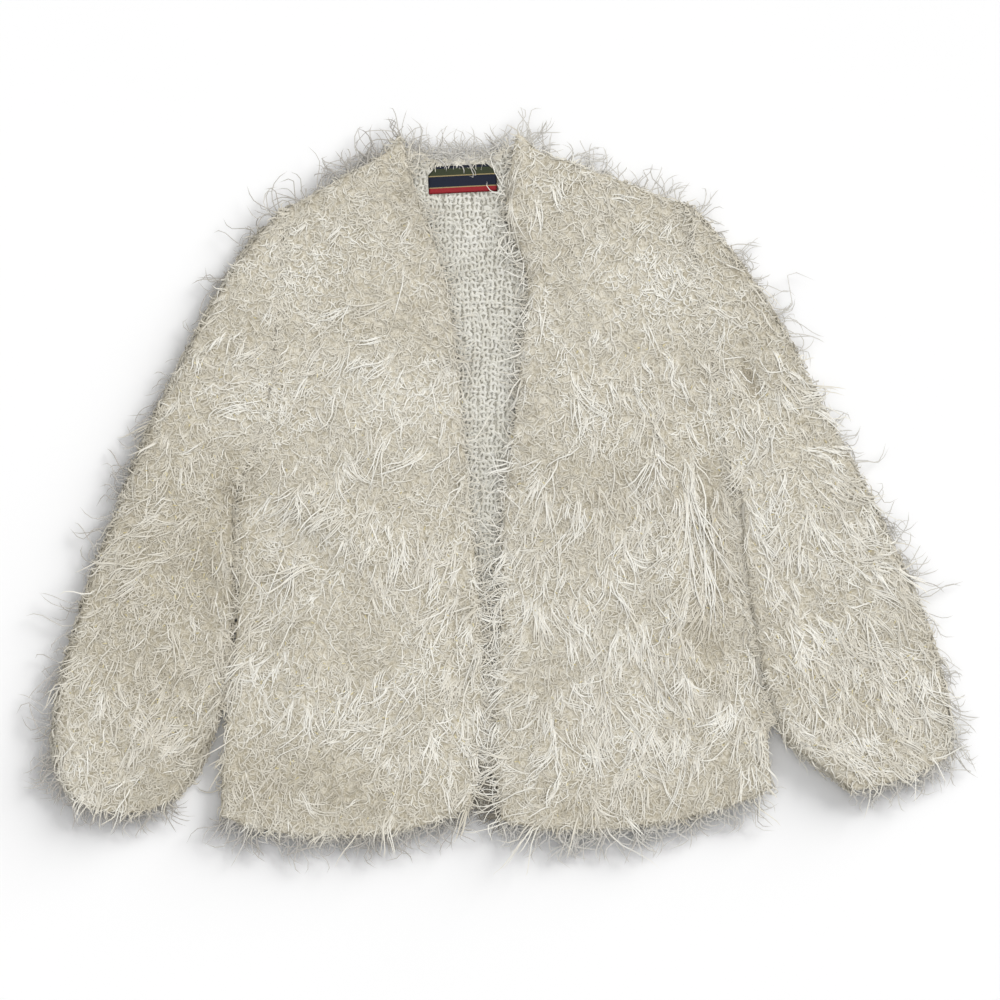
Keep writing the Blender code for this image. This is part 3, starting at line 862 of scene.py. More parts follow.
def strand_skin(lines, normal, thick, tone, taper=0.75):
    """Skin of three-sided strands along lines, each closed at its root and drawn to a point.

    In the map, u is a strand's tone and v runs from root to tip.
    """
    count, stations = lines.shape[:2]
    along = unit(np.gradient(lines, axis=1))
    flank = unit(np.cross(along, ACROSS_STRANDS))
    over = np.cross(flank, along)
    rings = stations - 1
    share = np.arange(rings) / rings
    radius = thick[:, None] * (1 - taper * share[None, :])
    roll = chance.uniform(0, 2 * np.pi, count)[:, None, None] + np.arange(3) * 2 * np.pi / 3
    swing = np.cos(roll)[..., None] * flank[:, :-1, None] + np.sin(roll)[..., None] * over[:, :-1, None]
    ring = lines[:, :-1, None] + radius[..., None, None] * swing
    points = np.concatenate((ring.reshape(count, -1, 3), lines[:, -1:]), axis=1)
    here = np.arange(3 * (rings - 1))
    beside = here - here % 3 + (here + 1) % 3
    last = np.arange(3 * rings - 3, 3 * rings)
    pattern = np.concatenate((
        np.stack((here, beside + 3, beside), axis=1),
        np.stack((here, here + 3, beside + 3), axis=1),
        np.stack((last, np.full(3, 3 * rings), np.roll(last, -1)), axis=1),
        np.array([[0, 1, 2]]),
    ))
    faces = (pattern[None] + (np.arange(count) * (3 * rings + 1))[:, None, None]).reshape(-1, 3)
    corner = np.concatenate((np.tile(np.arange(3) * TONE_STEP, rings), [TONE_STEP]))
    u = corner[None] + np.clip(tone, 0.01, 0.98)[:, None]
    v = np.concatenate((np.repeat(share, 3), [1.0]))[None] + np.zeros((count, 1))
    uv = np.stack((u, 0.01 + 0.98 * v), axis=-1)
    soft = unit(np.maximum(normal, (-1.0, -1.0, UPWARD_SHADING)))
    sides = (SOFTENING * soft[:, None, None] + (1 - SOFTENING) * swing).reshape(count, -1, 3)
    shading = unit(np.concatenate((sides, soft[:, None]), axis=1))
    return Skin(points.reshape(-1, 3), faces, uv.reshape(-1, 2), shading.reshape(-1, 3))


def joined(*skins):
    """Several skins of strands as one: the faces of each count on from the points before."""
    starts = np.cumsum([0] + [len(skin.points) for skin in skins[:-1]])
    faces = np.concatenate([skin.faces + start for skin, start in zip(skins, starts)])
    points, uv, shading = (np.concatenate([skin[k] for skin in skins]) for k in (0, 2, 3))
    return Skin(points, faces, uv, shading)


# %% [markdown]
# ## Finish of the yarn
# A strand's colour depends on two numbers in its own map: its tone, from shaded beige through ivory to
# the white of the glossy lashes, and how far it is from root to tip. Roots sit in the shade of the pile,
# so they are darker. One material with a ramp over the tone takes the place of dozens that would each
# have one colour.

# %% Yarn finish
ROOT_SHADE = ((0.0, (0.92, 0.9108, 0.8832)), (0.4, (1.0, 1.0, 1.0)))
YARN_TONES = (
    (0.0, (0.44, 0.392, 0.30)),
    (0.2, (0.56, 0.517, 0.42)),
    (0.4, (0.67, 0.626, 0.525)),
    (0.75, (0.80, 0.762, 0.665)),
    (1.0, (0.945, 0.925, 0.85)),
)
GOLD_TONES = ((0.0, (0.62, 0.50, 0.20)), (1.0, (0.90, 0.80, 0.45)))


def yarn_finish(name, roughness, tones):
    """Tapering yarn: a ramp over the strand's tone, shaded towards the root."""
    material, shade, link = new_finish(name, roughness, Specular_IOR_Level=0.35)
    tone, along = shade.axes(shade.add("ShaderNodeUVMap", {"uv_map": "OFBake"}))
    link("Base Color", shade.product(shade.ramp(tone, tones), shade.ramp(along, ROOT_SHADE)))
    return material


pile_yarn = yarn_finish("pile yarn", 0.75, YARN_TONES)
lash_yarn = yarn_finish("lash yarn", 0.4, YARN_TONES)
glint_thread = yarn_finish("gold thread", 0.35, GOLD_TONES)
print("yarns:", [finish.name for finish in (pile_yarn, lash_yarn, glint_thread)])

# %% [markdown]
# ## Pile and lashes on the cloth
# The pile is short tangled curls. Most lie along a slowly changing lay and some any way, and neighbours
# share a tone, which makes clumps. The lashes are longer, whiter and smoother: they fall towards the hem
# in loose groups, thicker on the left front, the left sleeve and the lower half, and thin on the
# shoulders. Bits of gold thread show between them. A particle system could scatter them, but arrays let
# the folds decide where each root goes, and the folds, the patches and the cloth's turn from the light
# decide how much painted light and painted shade it gets.

# %% Where strands root
# Strands of each kind, the longest lash in millimetres, the lashes' lean and sweep, and which way is out.
Coat = namedtuple("Coat", "curls locks strays longest lean sweep outward")
COATS = {
    "front_right": Coat(9900, 175, 560, 70, -0.35, 0.0, -1),
    "front_left": Coat(9400, 370, 800, 70, 0.1, -0.9, 1),
    "sleeve_right": Coat(6600, 95, 330, 34, -0.2, 0.0, 1),
    "sleeve_left": Coat(5900, 240, 550, 40, 0.1, 0.0, -1),
}
SLEEVE_LENGTH = 0.5
TOP_OF_SLEEVE = 0.7  # turn at the middle of a sleeve's upper side
COAT_LOW = {"front": 0.0, "sleeve": 0.42}  # stretch across a front or round a sleeve that has a coat
COAT_HIGH = {"front": 1.0, "sleeve": 0.985}
TRIES = 6  # places tried for each root
STEP = 0.002  # small step for slopes


def near_edge(distance, width):
    """1 at an edge, falling off as a bell."""
    return np.exp(-((distance / (width * MM)) ** 2))


def beside_fold(turn, start):
    """0 on a sleeve's upper side, 1 round its folds."""
    return np.clip((np.abs(turn - TOP_OF_SLEEVE) - start) / 0.06, 0, 1)


def pile_density(name, point, one, two):
    """Even, but closer in deep troughs and along edges, most of all along the armhole to hide its seam."""
    if name.startswith("front"):
        seam = (two > UNDERARM) * near_edge((1 - one) * FRONT_WIDTH, 7)
        ends = np.minimum(two, 1 - two) * FRONT_LENGTH
        even = 1 + 3.0 * seam + 1.3 * near_edge(np.minimum(one * FRONT_WIDTH, ends), 6)
    else:
        cuff = near_edge((1 - two) * SLEEVE_LENGTH, 8)
        seam = near_edge(two * SLEEVE_LENGTH, 7)
        even = 1 + 3.0 * seam + 0.8 * np.maximum(beside_fold(one, 0.18), cuff)
    return even * (1 + 1.5 * hollow(name, point))


def lash_density(name, point, one, two):
    """More lashes low down and on the wearer's left, fewer over the shoulders and above hem and cuff."""
    low = np.clip((230 * MM - point[:, 1]) / (330 * MM), 0.12, 1.0)
    even = low * (1 + 0.5 * np.tanh(point[:, 0] / (150 * MM))) * (1 + 0.6 * drift(point, 70 * MM, 12))
    if name.startswith("front"):
        return even * np.clip(two * FRONT_LENGTH / (45 * MM), 0.1, 1.0)
    above_cuff = np.clip((1 - two) * SLEEVE_LENGTH / (45 * MM), 0.25, 1.0)
    return even * (1 - 0.8 * beside_fold(one, 0.16)) * above_cuff


def thinned_lashes(name, point, one, two):
    """The same, with hardly any lashes in deep troughs."""
    return lash_density(name, point, one, two) * (1 - 0.9 * hollow(name, point))


def coat_face(name, one, two):
    """Upper surface of a front or sleeve at two shares."""
    kind, side = name.split("_")
    if kind == "front":
        return front_face(side, np.clip(one, 0, 1), two)
    return sleeve_face(side, one, two)


def scatter(name, count, density):
    """Roots on a surface: places picked in proportion to their area and the density wanted there.

    Returns the points, the outward normals and the direction along the surface.
    """
    kind = name.split("_")[0]
    tries = count * TRIES
    one = chance.uniform(COAT_LOW[kind], COAT_HIGH[kind], tries)
    two = chance.uniform(0.0, 1.0, tries)
    point = coat_face(name, one, two)
    across = coat_face(name, one + STEP, two) - coat_face(name, one - STEP, two)
    after, before = (coat_face(name, one, np.clip(two + step, 0, 1)) for step in (STEP, -STEP))
    along = after - before
    area = np.cross(across, along)
    weight = np.linalg.norm(area, axis=-1) * np.clip(density(name, point, one, two), 0, None)
    keep = chance.choice(tries, count, replace=False, p=weight / weight.sum())
    return point[keep], unit(area[keep]) * COATS[name].outward, unit(along[keep])


# %% Curls, lashes and glints
LOCK_LASHES = 5  # lashes in one lock
GLINTS = 130  # bits of gold thread on each piece
STREAK_LASHES = 34
SWEEP_FROM, SWEEP_WIDTH = 10 * MM, 40 * MM  # where lashes sweep into the opening


def pile_curls(roots, normals, base, shift):
    """Short tangled curls lying mostly along a base direction, their tone shifted by painted shading."""
    count = len(roots)
    lay = 0.8 * drift(roots, 45 * MM, 21) + chance.normal(0, 0.9, count)
    lay = np.where(chance.random(count) < 0.25, chance.uniform(-np.pi, np.pi, count), lay)
    heading = headed(normals, base, lay)
    length = chance.gamma(9.0, 1.1 * MM, count)
    turn = chance.choice((-1, 1), count) * chance.uniform(0.4, 3.0, count)
    sway = chance.normal(0, 0.05, count)
    lift = chance.uniform(0.8, 2.2, count) * MM
    rest = chance.uniform(0.5, 1.6, count) * MM
    lines = grow(roots - normals * 0.3 * MM, normals, heading, length, turn, sway, lift, rest, 4)
    clumps = 0.12 * drift(roots, 70 * MM, 3) + 0.14 * drift(roots, 16 * MM, 22)
    tone = 0.66 + shift + clumps + chance.normal(0, 0.08, count)
    tone = np.maximum(tone, 0.25 + np.minimum(shift, 0))
    return strand_skin(lines, normals, chance.uniform(0.6, 0.9, count) * MM, tone, 0.5)


def long_lashes(roots, normals, base, coat, shift):
    """Long smooth lashes along a base direction: locks of near-parallel lashes first, then single strays.

    A few are extra long. Near the opening they sweep aside. Their tone is shifted by painted light and
    shade.
    """
    groups = len(roots)
    each = np.concatenate((np.full(coat.locks, LOCK_LASHES), np.ones(coat.strays, int)))
    lean = coat.sweep * np.exp(-np.clip(roots[:, 0] - SWEEP_FROM, 0, None) / SWEEP_WIDTH) + coat.lean
    angle = lean + 0.42 * drift(roots, 60 * MM, 5) + chance.normal(0, 0.3, groups)
    length = np.clip(chance.gamma(7.0, 3.6 * MM, groups), 10 * MM, 52 * MM)
    length = np.where(chance.random(groups) < 0.06, chance.uniform(45, 70, groups) * MM, length)
    length = np.minimum(length, coat.longest * MM)
    turn = chance.normal(0, 0.6, groups)
    sway = chance.normal(0, 0.05, groups)
    tone = 0.87 + shift + 0.12 * drift(roots, 40 * MM, 8) + chance.normal(0, 0.08, groups)
    roots, normals, base = (np.repeat(rows, each, axis=0) for rows in (roots, normals, base))
    angle, length, turn, sway, tone = (np.repeat(row, each) for row in (angle, length, turn, sway, tone))
    count = len(roots)
    heading = headed(normals, base, angle + chance.normal(0, 0.1, count))
    back = chance.normal(0, 3.5, count)[:, None] * MM
    aside = chance.normal(0, 1.5, count)[:, None] * MM
    roots = roots + heading * back + np.cross(normals, heading) * aside - normals * 0.8 * MM
    length = length * chance.uniform(0.7, 1.15, count)
    lift = chance.uniform(1.0, 2.8, count) * MM
    rest = chance.uniform(0.8, 2.6, count) * MM
    turn = turn + chance.normal(0, 0.18, count)
    sway = sway + chance.normal(0, 0.015, count)
    lines = grow(roots, normals, heading, length, turn, sway, lift, rest, 6)
    thick = chance.uniform(0.65, 1.0, count) * MM
    return strand_skin(lines, normals, thick, tone + chance.normal(0, 0.06, count), 0.6)


def loose_strands(root, heading, length, bend, sway, lift, rest, thick, tone, stations, taper, sink=False):
    """Strands over level cloth: bend and sway are spreads, tone a middle and a spread, the others ranges.

    Lift, rest and thickness are in millimetres. Where strands sink, their tips rest that far down, not up.
    """
    count = len(root)
    up = facing(UP, count)
    turn = chance.normal(0, bend, count)
    sway = chance.normal(0, sway, count)
    lift = chance.uniform(*lift, count) * MM
    rest = chance.uniform(*rest, count) * (-MM if sink else MM)
    lines = grow(root, up, heading, length, turn, sway, lift, rest, stations)
    return strand_skin(lines, up, chance.uniform(*thick, count) * MM, chance.normal(*tone, count), taper)


def streak_lashes():
    """The longest lashes, which hang side by side past a trough of the left front."""
    across = chance.uniform(0.76, 0.88, STREAK_LASHES)
    share = chance.uniform(0.38, 0.57, STREAK_LASHES)
    root = front_face("left", across, share)
    angle = chance.normal(0.05, 0.12, STREAK_LASHES)
    heading = headed(facing(UP, STREAK_LASHES), facing(HEMWARD, STREAK_LASHES), angle)
    length = chance.uniform(45, 95, STREAK_LASHES) * MM
    return loose_strands(
        root, heading, length, bend=0.3, sway=0.03, lift=(1.0, 2.5), rest=(0.8, 2.2),
        thick=(0.7, 1.1), tone=(0.97, 0.04), stations=8, taper=0.6,
    )


def glint_threads(roots, normals, base):
    """Short bits of gold thread that show between the lashes."""
    count = len(roots)
    heading = headed(normals, base, chance.uniform(-np.pi, np.pi, count))
    length = chance.uniform(2.0, 5.0, count) * MM
    level = chance.uniform(1.2, 2.6, count) * MM
    bend = chance.normal(0, 0.8, count)
    still = np.zeros(count)
    roots = roots + normals * level[:, None]
    lines = grow(roots, normals, heading, length, bend, still, 0.1 * level, still, 3)
    return strand_skin(lines, normals, np.full(count, 0.45 * MM), chance.uniform(0.2, 0.9, count), 0.3)


# %% Coat of each panel
EDGE_SHADE = 0.25  # how much darker the pile is where the cloth turns away from the light
coat_pieces = {}


def painted_coat_shading(name, root, normal, trough_shade_share):
    """Painted light and shade at roots, as a tone shift."""
    turned_away = np.clip(1 - normal[:, 2], 0, 1)
    # The painted patches, less painted shade in deep troughs by a share, less painted shade where the cloth
    # turns from the light.
    return painted_patch_shading(root) - trough_shade_share * hollow(name, root) - EDGE_SHADE * turned_away


def fall(name, along):
    """Direction that strands fall in: down a sleeve, or straight to the hem on a front."""
    return along if name.startswith("sleeve") else facing(HEMWARD, len(along))


for name, coat in COATS.items():
    root, normal, along = scatter(name, coat.curls, pile_density)
    curls = pile_curls(root, normal, fall(name, along), painted_coat_shading(name, root, normal, 1.0))
    pile = add_piece(f"{name}_pile", curls, pile_yarn)
    root, normal, along = scatter(name, coat.locks + coat.strays, thinned_lashes)
    strands = long_lashes(root, normal, fall(name, along), coat, painted_coat_shading(name, root, normal, 0.4))
    if name == "front_left":
        strands = joined(strands, streak_lashes())
    lashes = add_piece(f"{name}_lashes", strands, lash_yarn)
    glints = add_piece(f"{name}_glints", glint_threads(*scatter(name, GLINTS, lash_density)), glint_thread)
    coat_pieces[name] = [pile, lashes, glints]

# %% [markdown]
# ## Pile that closes the sides
# On the real jacket body and sleeve touch, and their pile grows into each other, so that only a short dark
# slit shows between them. Moving the panels together would change the cut. Curls that root on either side
# and reach across the narrow gap close it instead. Most of them are kept away from where the slit shows.

# %% Side pile
SIDE_CURLS = {"right": 560, "left": 760}
SIDE_LEVEL = {"right": (7.0, 11.0), "left": (9.5, 14.0)}  # millimetres
SIDE_END = {"right": -195 * MM, "left": -212 * MM}  # where sleeve and body part
SIDE_SLIT = {"right": (-140 * MM, -80 * MM), "left": (-182 * MM, -150 * MM)}  # where the dark shows
LINE_POINTS = 60  # points on a line that strands root along
LAST = LINE_POINTS - 1


def side_curls(side):
    """Curls from the body's side and the sleeve's inner fold that reach across the gap between them."""
    seam = side_point(side, np.linspace(0, UNDERARM, LINE_POINTS))
    fold = sleeve_edges(side, np.linspace(0, 1, LINE_POINTS))[1]
    low, high = SIDE_SLIT[side]
    count = SIDE_CURLS[side]
    y = chance.uniform(SIDE_END[side], 0, count)
    moved = (y > low) & (y < high) & (chance.random(count) < 0.8)
    y = np.where(moved, chance.uniform(high, 0, count), y)
    body_x = np.interp(y, seam[:, 1], seam[:, 0])
    arm_x = np.interp(-y, -fold[:, 1], fold[:, 0])
    on_body = chance.random(count) < 0.5
    ahead = np.where(on_body, AWAY[side][0], -AWAY[side][0])
    x = np.where(on_body, body_x, arm_x) - ahead * 2 * MM
    root = np.stack((x, y, chance.uniform(*SIDE_LEVEL[side], count) * MM), axis=-1)
    base = np.stack((ahead, np.full(count, -0.5), np.zeros(count)), axis=-1)
    up = facing(UP, count)
    heading = headed(up, base, chance.normal(0, 0.6, count))
    length = np.abs(arm_x - body_x) + chance.uniform(5, 12, count) * MM
    turn = chance.normal(0, 1.2, count)
    sway = chance.normal(0, 0.05, count)
    lift = chance.uniform(0.2, 1.6, count) * MM
    rest = chance.uniform(-1.0, 1.5, count) * MM
    lines = grow(root, up, heading, length, turn, sway, lift, rest, 4)
    # Darker than the coat's curls: painted shade in the gap between body and sleeve.
    tone = chance.normal(0.5, 0.12, count)
    return strand_skin(lines, up, chance.uniform(0.6, 0.9, count) * MM, tone, 0.5)


for side in SIDES:
    coat_pieces[f"front_{side}"].append(add_piece(f"front_{side}_side_pile", side_curls(side), pile_yarn))

# %% [markdown]
# ## Pile over the armholes and the opening
# A knitter's seams vanish under eyelash yarn, and the front edges are blurred by it. The same kind of
# curl does this here: it roots along one line and lies towards another. Across the armholes it hides the
# seam, along the left edge it softens the opening, low down it joins the two fronts, and in the hem's
# notch it is dark, because the back shows there in deep shade.

# %% Pile over the armholes
ARMHOLE_CURLS, EDGE_CURLS, OPENING_CURLS, NOTCH_CURLS = 140, 300, 330, 110


def along_line(line, place):
    """Points of a line at places counted in its own points."""
    return np.stack([np.interp(place, np.arange(len(line)), line[:, k]) for k in range(3)], axis=1)


def bridge_curls(start, end, place, spare, sink, tone):
    """Curls that root along one line and lie towards another, which closes the gap between them."""
    count = len(place)
    root = along_line(start, place)
    over = (along_line(end, place) - root) * (1.0, 1.0, 0.0)
    gap = np.linalg.norm(over, axis=1)
    up = facing(UP, count)
    heading = headed(up, unit(over) + 0.4 * HEMWARD, chance.normal(0, 0.55, count))
    root = root - unit(over) * 2 * MM + up * chance.normal(0, 0.7, count)[:, None] * MM
    length = gap + chance.uniform(*spare, count) * MM
    return loose_strands(
        root, heading, length, bend=1.2, sway=0.05, lift=(0.4, 1.8), rest=sink,
        thick=(0.55, 0.85), tone=(tone, 0.1), stations=4, taper=0.5, sink=True,
    )


def both_ways(one, two, place, spare, sink, tone):
    """Bridging curls, half of them from each line."""
    half = len(place) // 2
    return joined(
        bridge_curls(one, two, place[:half], spare, sink, tone),
        bridge_curls(two, one, place[half:], spare, sink, tone),
    )


for side in SIDES:
    near = front_face(side, np.full(LINE_POINTS, 0.985), np.linspace(UNDERARM, 1, LINE_POINTS))
    near[:, 2] = np.maximum(near[:, 2], SLEEVE_HEIGHT - 1 * MM)
    far = near + with_level(AWAY[side], 0.0) * 6 * MM
    place = chance.uniform(0, LAST, 2 * ARMHOLE_CURLS)
    strands = both_ways(near, far, place, (3, 9), (-1.0, 0.5), 0.6)
    coat_pieces[f"front_{side}"].append(add_piece(f"front_{side}_armhole_pile", strands, pile_yarn))

# %% Pile over the opening
# Dark yarn for the hem's notch: painted shade where the back shows between the fronts.
NOTCH_PAINTED_SHADE_TONES = ((0.0, (0.16, 0.145, 0.12)), (1.0, (0.40, 0.365, 0.30)))
DEEP = 3.0 * MM * UP
INTO_OPENING = np.array((-4.0, 0.0, 0.0)) * MM

share = np.linspace(0.0, 1.0, LINE_POINTS)
right_edge, left_edge = (front_middle(side, np.zeros(LINE_POINTS), share) - 1.0 * MM * UP for side in SIDES)
place = chance.uniform(0.3, 0.97, EDGE_CURLS) * LAST
edge_pile = bridge_curls(left_edge, left_edge + INTO_OPENING, place, (3, 12), (0.5, 3.0), 0.62)
low_down = chance.random(OPENING_CURLS) < 0.7
lowest = chance.uniform(0.075, 0.2, OPENING_CURLS)
place = np.where(low_down, lowest, chance.triangular(0.15, 0.2, 0.4, OPENING_CURLS)) * LAST
opening = both_ways(right_edge, left_edge, place, (-2, 8), (-2.0, 1.0), 0.55)
opening_pile = add_piece("front_left_opening_pile", joined(edge_pile, opening), pile_yarn)
coat_pieces["front_left"].append(opening_pile)
# Dark curls in the hem's notch, painted shade.
place = chance.uniform(0.012, 0.06, NOTCH_CURLS) * LAST
notch = both_ways(right_edge - DEEP, left_edge - DEEP, place, (-8, 4), (-1.0, 2.0), 0.35)
notch_pile = add_piece("back_hem_pile", notch, yarn_finish("shaded yarn", 0.85, NOTCH_PAINTED_SHADE_TONES))

# %% [markdown]
# ## Fringe along the edges
# Past the edges the lashes have nothing under them, so they stand out and sink towards the floor. They
# make the ragged outline of hems, cuffs, sleeves, shoulders, front edges and back neck. A few broad locks
# would show as teeth, so each edge has many thin lashes, two to a lock. They replace the plain locks of
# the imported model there, and keep to the same edge.

# %% Edge lines
# One share runs from first to last along the edge, the other is held. Sleeve edges have their own level.
Route = namedtuple("Route", "runs_across held first last level")
ROUTES = {
    "hem": Route(True, 0.0, 0.02, 0.98, None),
    "shoulder": Route(True, 1.0, 0.02, 0.98, None),
    "edge": Route(False, 0.0, 0.02, 0.97, None),
    "arm": Route(False, 0.0, 0.02, 0.99, SLEEVE_HEIGHT / 2),
    "cuff": Route(True, 1.0, 0.04, 0.96, CUFF_HEIGHT - KNIT / 2),
}
NECK_FROM, NECK_TO = 0.56, 0.30  # shares across the back


def edge_line(kind, side):
    """Points along an edge of a front or sleeve, in the order that has the outside on their right."""
    route = ROUTES[kind]
    run = np.linspace(route.first, route.last, LINE_POINTS)
    if (kind == "hem") == (side == "right"):
        run = run[::-1]
    held = np.full(LINE_POINTS, route.held)
    across, share = (run, held) if route.runs_across else (held, run)
    if route.level is None:
        return front_middle(side, across, share)
    return with_level(sleeve_plan(side, across, share), route.level)


def neck_line():
    """Points along the back's neck, from the left to the right."""
    line = back_face(np.linspace(NECK_FROM, NECK_TO, LINE_POINTS), np.ones(LINE_POINTS), 1)
    return with_level(line[:, :2], INSIDE_LEVEL)


# %% Lashes along the edges
# Lengths and the height of the tips are in millimetres.
Fringe = namedtuple("Fringe", "locks shortest longest tip spread lean")
FRINGES = {
    "hem": Fringe(150, 10, 50, 2.5, 0.5, 0.0),
    "cuff": Fringe(64, 10, 42, 2.5, 0.6, 0.3),
    "arm": Fringe(150, 9, 52, 3.5, 0.5, 1.1),
    "shoulder": Fringe(54, 10, 50, 4.0, 0.55, 0.0),
    "edge": Fringe(150, 9, 42, 8.5, 0.7, 0.6),
    "neck": Fringe(100, 10, 44, 6.0, 0.6, -0.3),
}
FRINGE_LOCK = 2  # lashes in one lock of the fringe
# Painted shade and light: the wearer's right fringe, away from the light, is darker; the left is lighter.
FRINGE_PAINTED_SIDE_TONE = {"right": 0.6, "left": 0.88}
FRINGE_TONES = ((0.0, (0.30, 0.28, 0.25)), (0.5, (0.46, 0.435, 0.395)), (1.0, (0.68, 0.66, 0.61)))


def edge_lashes(line, fringe, middle_tone):
    """Locks of lashes along a line, pointing to its right: most short, a few long, all sinking."""
    locks = fringe.locks
    place = np.repeat(chance.uniform(0, LAST, locks), FRINGE_LOCK)
    place = np.clip(place + chance.normal(0, 0.35, len(place)), 0, LAST)
    count = len(place)
    root = along_line(line, place)
    forward = along_line(np.gradient(line, axis=0), place)
    out = unit(np.stack((forward[:, 1], -forward[:, 0], 0 * place), axis=1))
    out = unit(out + fringe.lean * HEMWARD)
    up = facing(UP, count)
    root = root - out * 3 * MM + up * chance.uniform(-2.5, 2.0, count)[:, None] * MM
    angle = np.repeat(chance.normal(0, fringe.spread, locks), FRINGE_LOCK) + chance.normal(0, 0.4, count)
    length = np.repeat(chance.beta(1.6, 2.4, locks), FRINGE_LOCK) * chance.uniform(0.7, 1.1, count)
    length = (fringe.shortest + (fringe.longest - fringe.shortest) * length) * MM
    turn = np.repeat(chance.normal(0, 1.3, locks), FRINGE_LOCK) + chance.normal(0, 0.5, count)
    sway = chance.normal(0, 0.12, count)
    tip = fringe.tip * MM * chance.uniform(0.8, 2.2, count)
    lift = chance.uniform(0.3, 2.2, count) * MM
    lines = grow(root, up, headed(up, out, angle), length, turn, sway, lift, tip - root[:, 2], 7)
    tone = middle_tone + chance.normal(0, 0.14, count)
    return strand_skin(lines, up, chance.uniform(0.45, 0.75, count) * MM, tone, 0.4)


fringe_yarn = yarn_finish("fringe yarn", 0.5, FRINGE_TONES)
fringe_pieces = {}
for kind in ("hem", "shoulder", "edge", "arm", "cuff"):
    for side in SIDES:
        strands = edge_lashes(edge_line(kind, side), FRINGES[kind], FRINGE_PAINTED_SIDE_TONE[side])
        name = f"fringe_{kind}_{side}"
        finish = lash_yarn if kind == "edge" else fringe_yarn
        fringe_pieces[name] = add_piece(f"{name}_lashes", strands, finish)
strands = edge_lashes(neck_line(), FRINGES["neck"], FRINGE_PAINTED_SIDE_TONE["left"])
fringe_pieces["fringe_neck"] = add_piece("fringe_neck_lashes", strands, fringe_yarn)
for name, piece in fringe_pieces.items():
    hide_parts(name)

# %% [markdown]
# ## Stitches inside the back
# Between the open fronts the inside of the back shows bare knit: rows of loops, each hooked through the
# row below. A bump map could suggest them, but here they are large enough to be seen one by one. A loop
# follows sines: across, the stitch width plus a wobble that swells its head, up, one cosine, and in
# depth, a cosine twice as fast, so that heads and feet lie on top of the legs as on the purl side.

# %% Places of the loops
LOOP_WIDTH, LOOP_ROW = 7.8 * MM, 5.9 * MM
LOOPS_FROM, LOOPS_TO = np.array((-100, -300)) * MM, np.array((45, 312)) * MM
UNDER_FRONTS = 5 * MM  # how far the loops run on beneath the fronts
CLEAR_OF_ENDS = 3 * MM  # from the neck and the hem
NECK_SIDES = 0.29  # where the loops end under the fronts' neck edges


def loop_places():
    """Middles of the loops that show between the front edges, with a little to spare under them."""
    columns, rows = (
        np.arange(low, high, step) for low, high, step in zip(LOOPS_FROM, LOOPS_TO, (LOOP_WIDTH, LOOP_ROW))
    )
    x, y = np.meshgrid(columns, rows)
    x = x + 1.4 * MM * drift(np.stack((x, y), -1), 40 * MM, 30)
    y = y + 1.3 * MM * drift(np.stack((x, y), -1), 40 * MM, 31)
    right, left = (through(EDGE_LINE[side], np.linspace(0, 1, 200)) for side in SIDES)
    start = np.interp(y, right[:, 1], right[:, 0]) - UNDER_FRONTS
    end = np.interp(y, left[:, 1], left[:, 0]) + UNDER_FRONTS
    neck = neck_line()[::-1]
    top = np.interp(x, neck[:, 0], neck[:, 1], left=NECK_SIDES, right=NECK_SIDES) - CLEAR_OF_ENDS
    bottom = back_face(np.linspace(0.4, 0.6, 50), np.zeros(50))
    hem = np.interp(x, bottom[:, 0], bottom[:, 1]) + CLEAR_OF_ENDS
    keep = (x > start) & (x < end) & (y < top) & (y > hem)
    return np.stack((x[keep], y[keep]), axis=-1)


middles = loop_places()
middles = middles + chance.normal(0, 0.7, middles.shape) * MM
print("loops:", len(middles))

# %% Loops of the open knit
LOOP_TALL, LOOP_SWELL, LOOP_DEPTH = 3.5 * MM, 0.19, 0.6 * MM
LOOP_LEVEL = INSIDE_LEVEL + 1.0 * MM
LOOP_STATIONS, LOOP_SIDES = 9, 6
YARN_THICK = 1.5 * MM
INSIDE_TONES = ((0.0, (0.54, 0.52, 0.455)), (0.5, (0.77, 0.755, 0.685)), (1.0, (0.90, 0.89, 0.84)))


def loop_lines(middles):
    """One loop about each middle: a way from -0.5 to 0.5 across it, uneven in height, lean and swell."""
    way = np.linspace(-0.5, 0.5, LOOP_STATIONS)[None, :]
    each = (len(middles), 1)
    uneven = chance.normal(1.0, 0.2, each)
    lean = chance.normal(0, 0.15, each)
    swell = LOOP_SWELL * chance.normal(1.0, 0.2, each)
    rise = LOOP_TALL * uneven * np.cos(2 * np.pi * way)
    x = middles[:, :1] + LOOP_WIDTH * (way + swell * np.sin(4 * np.pi * way)) + lean * rise
    y = middles[:, 1:] + rise + 0.9 * MM * chance.normal(0, 1, each) * np.sin(2 * np.pi * way)
    z = LOOP_LEVEL + LOOP_DEPTH * np.cos(4 * np.pi * way) + 0 * middles[:, :1]
    return np.stack((x, y, z), axis=-1)


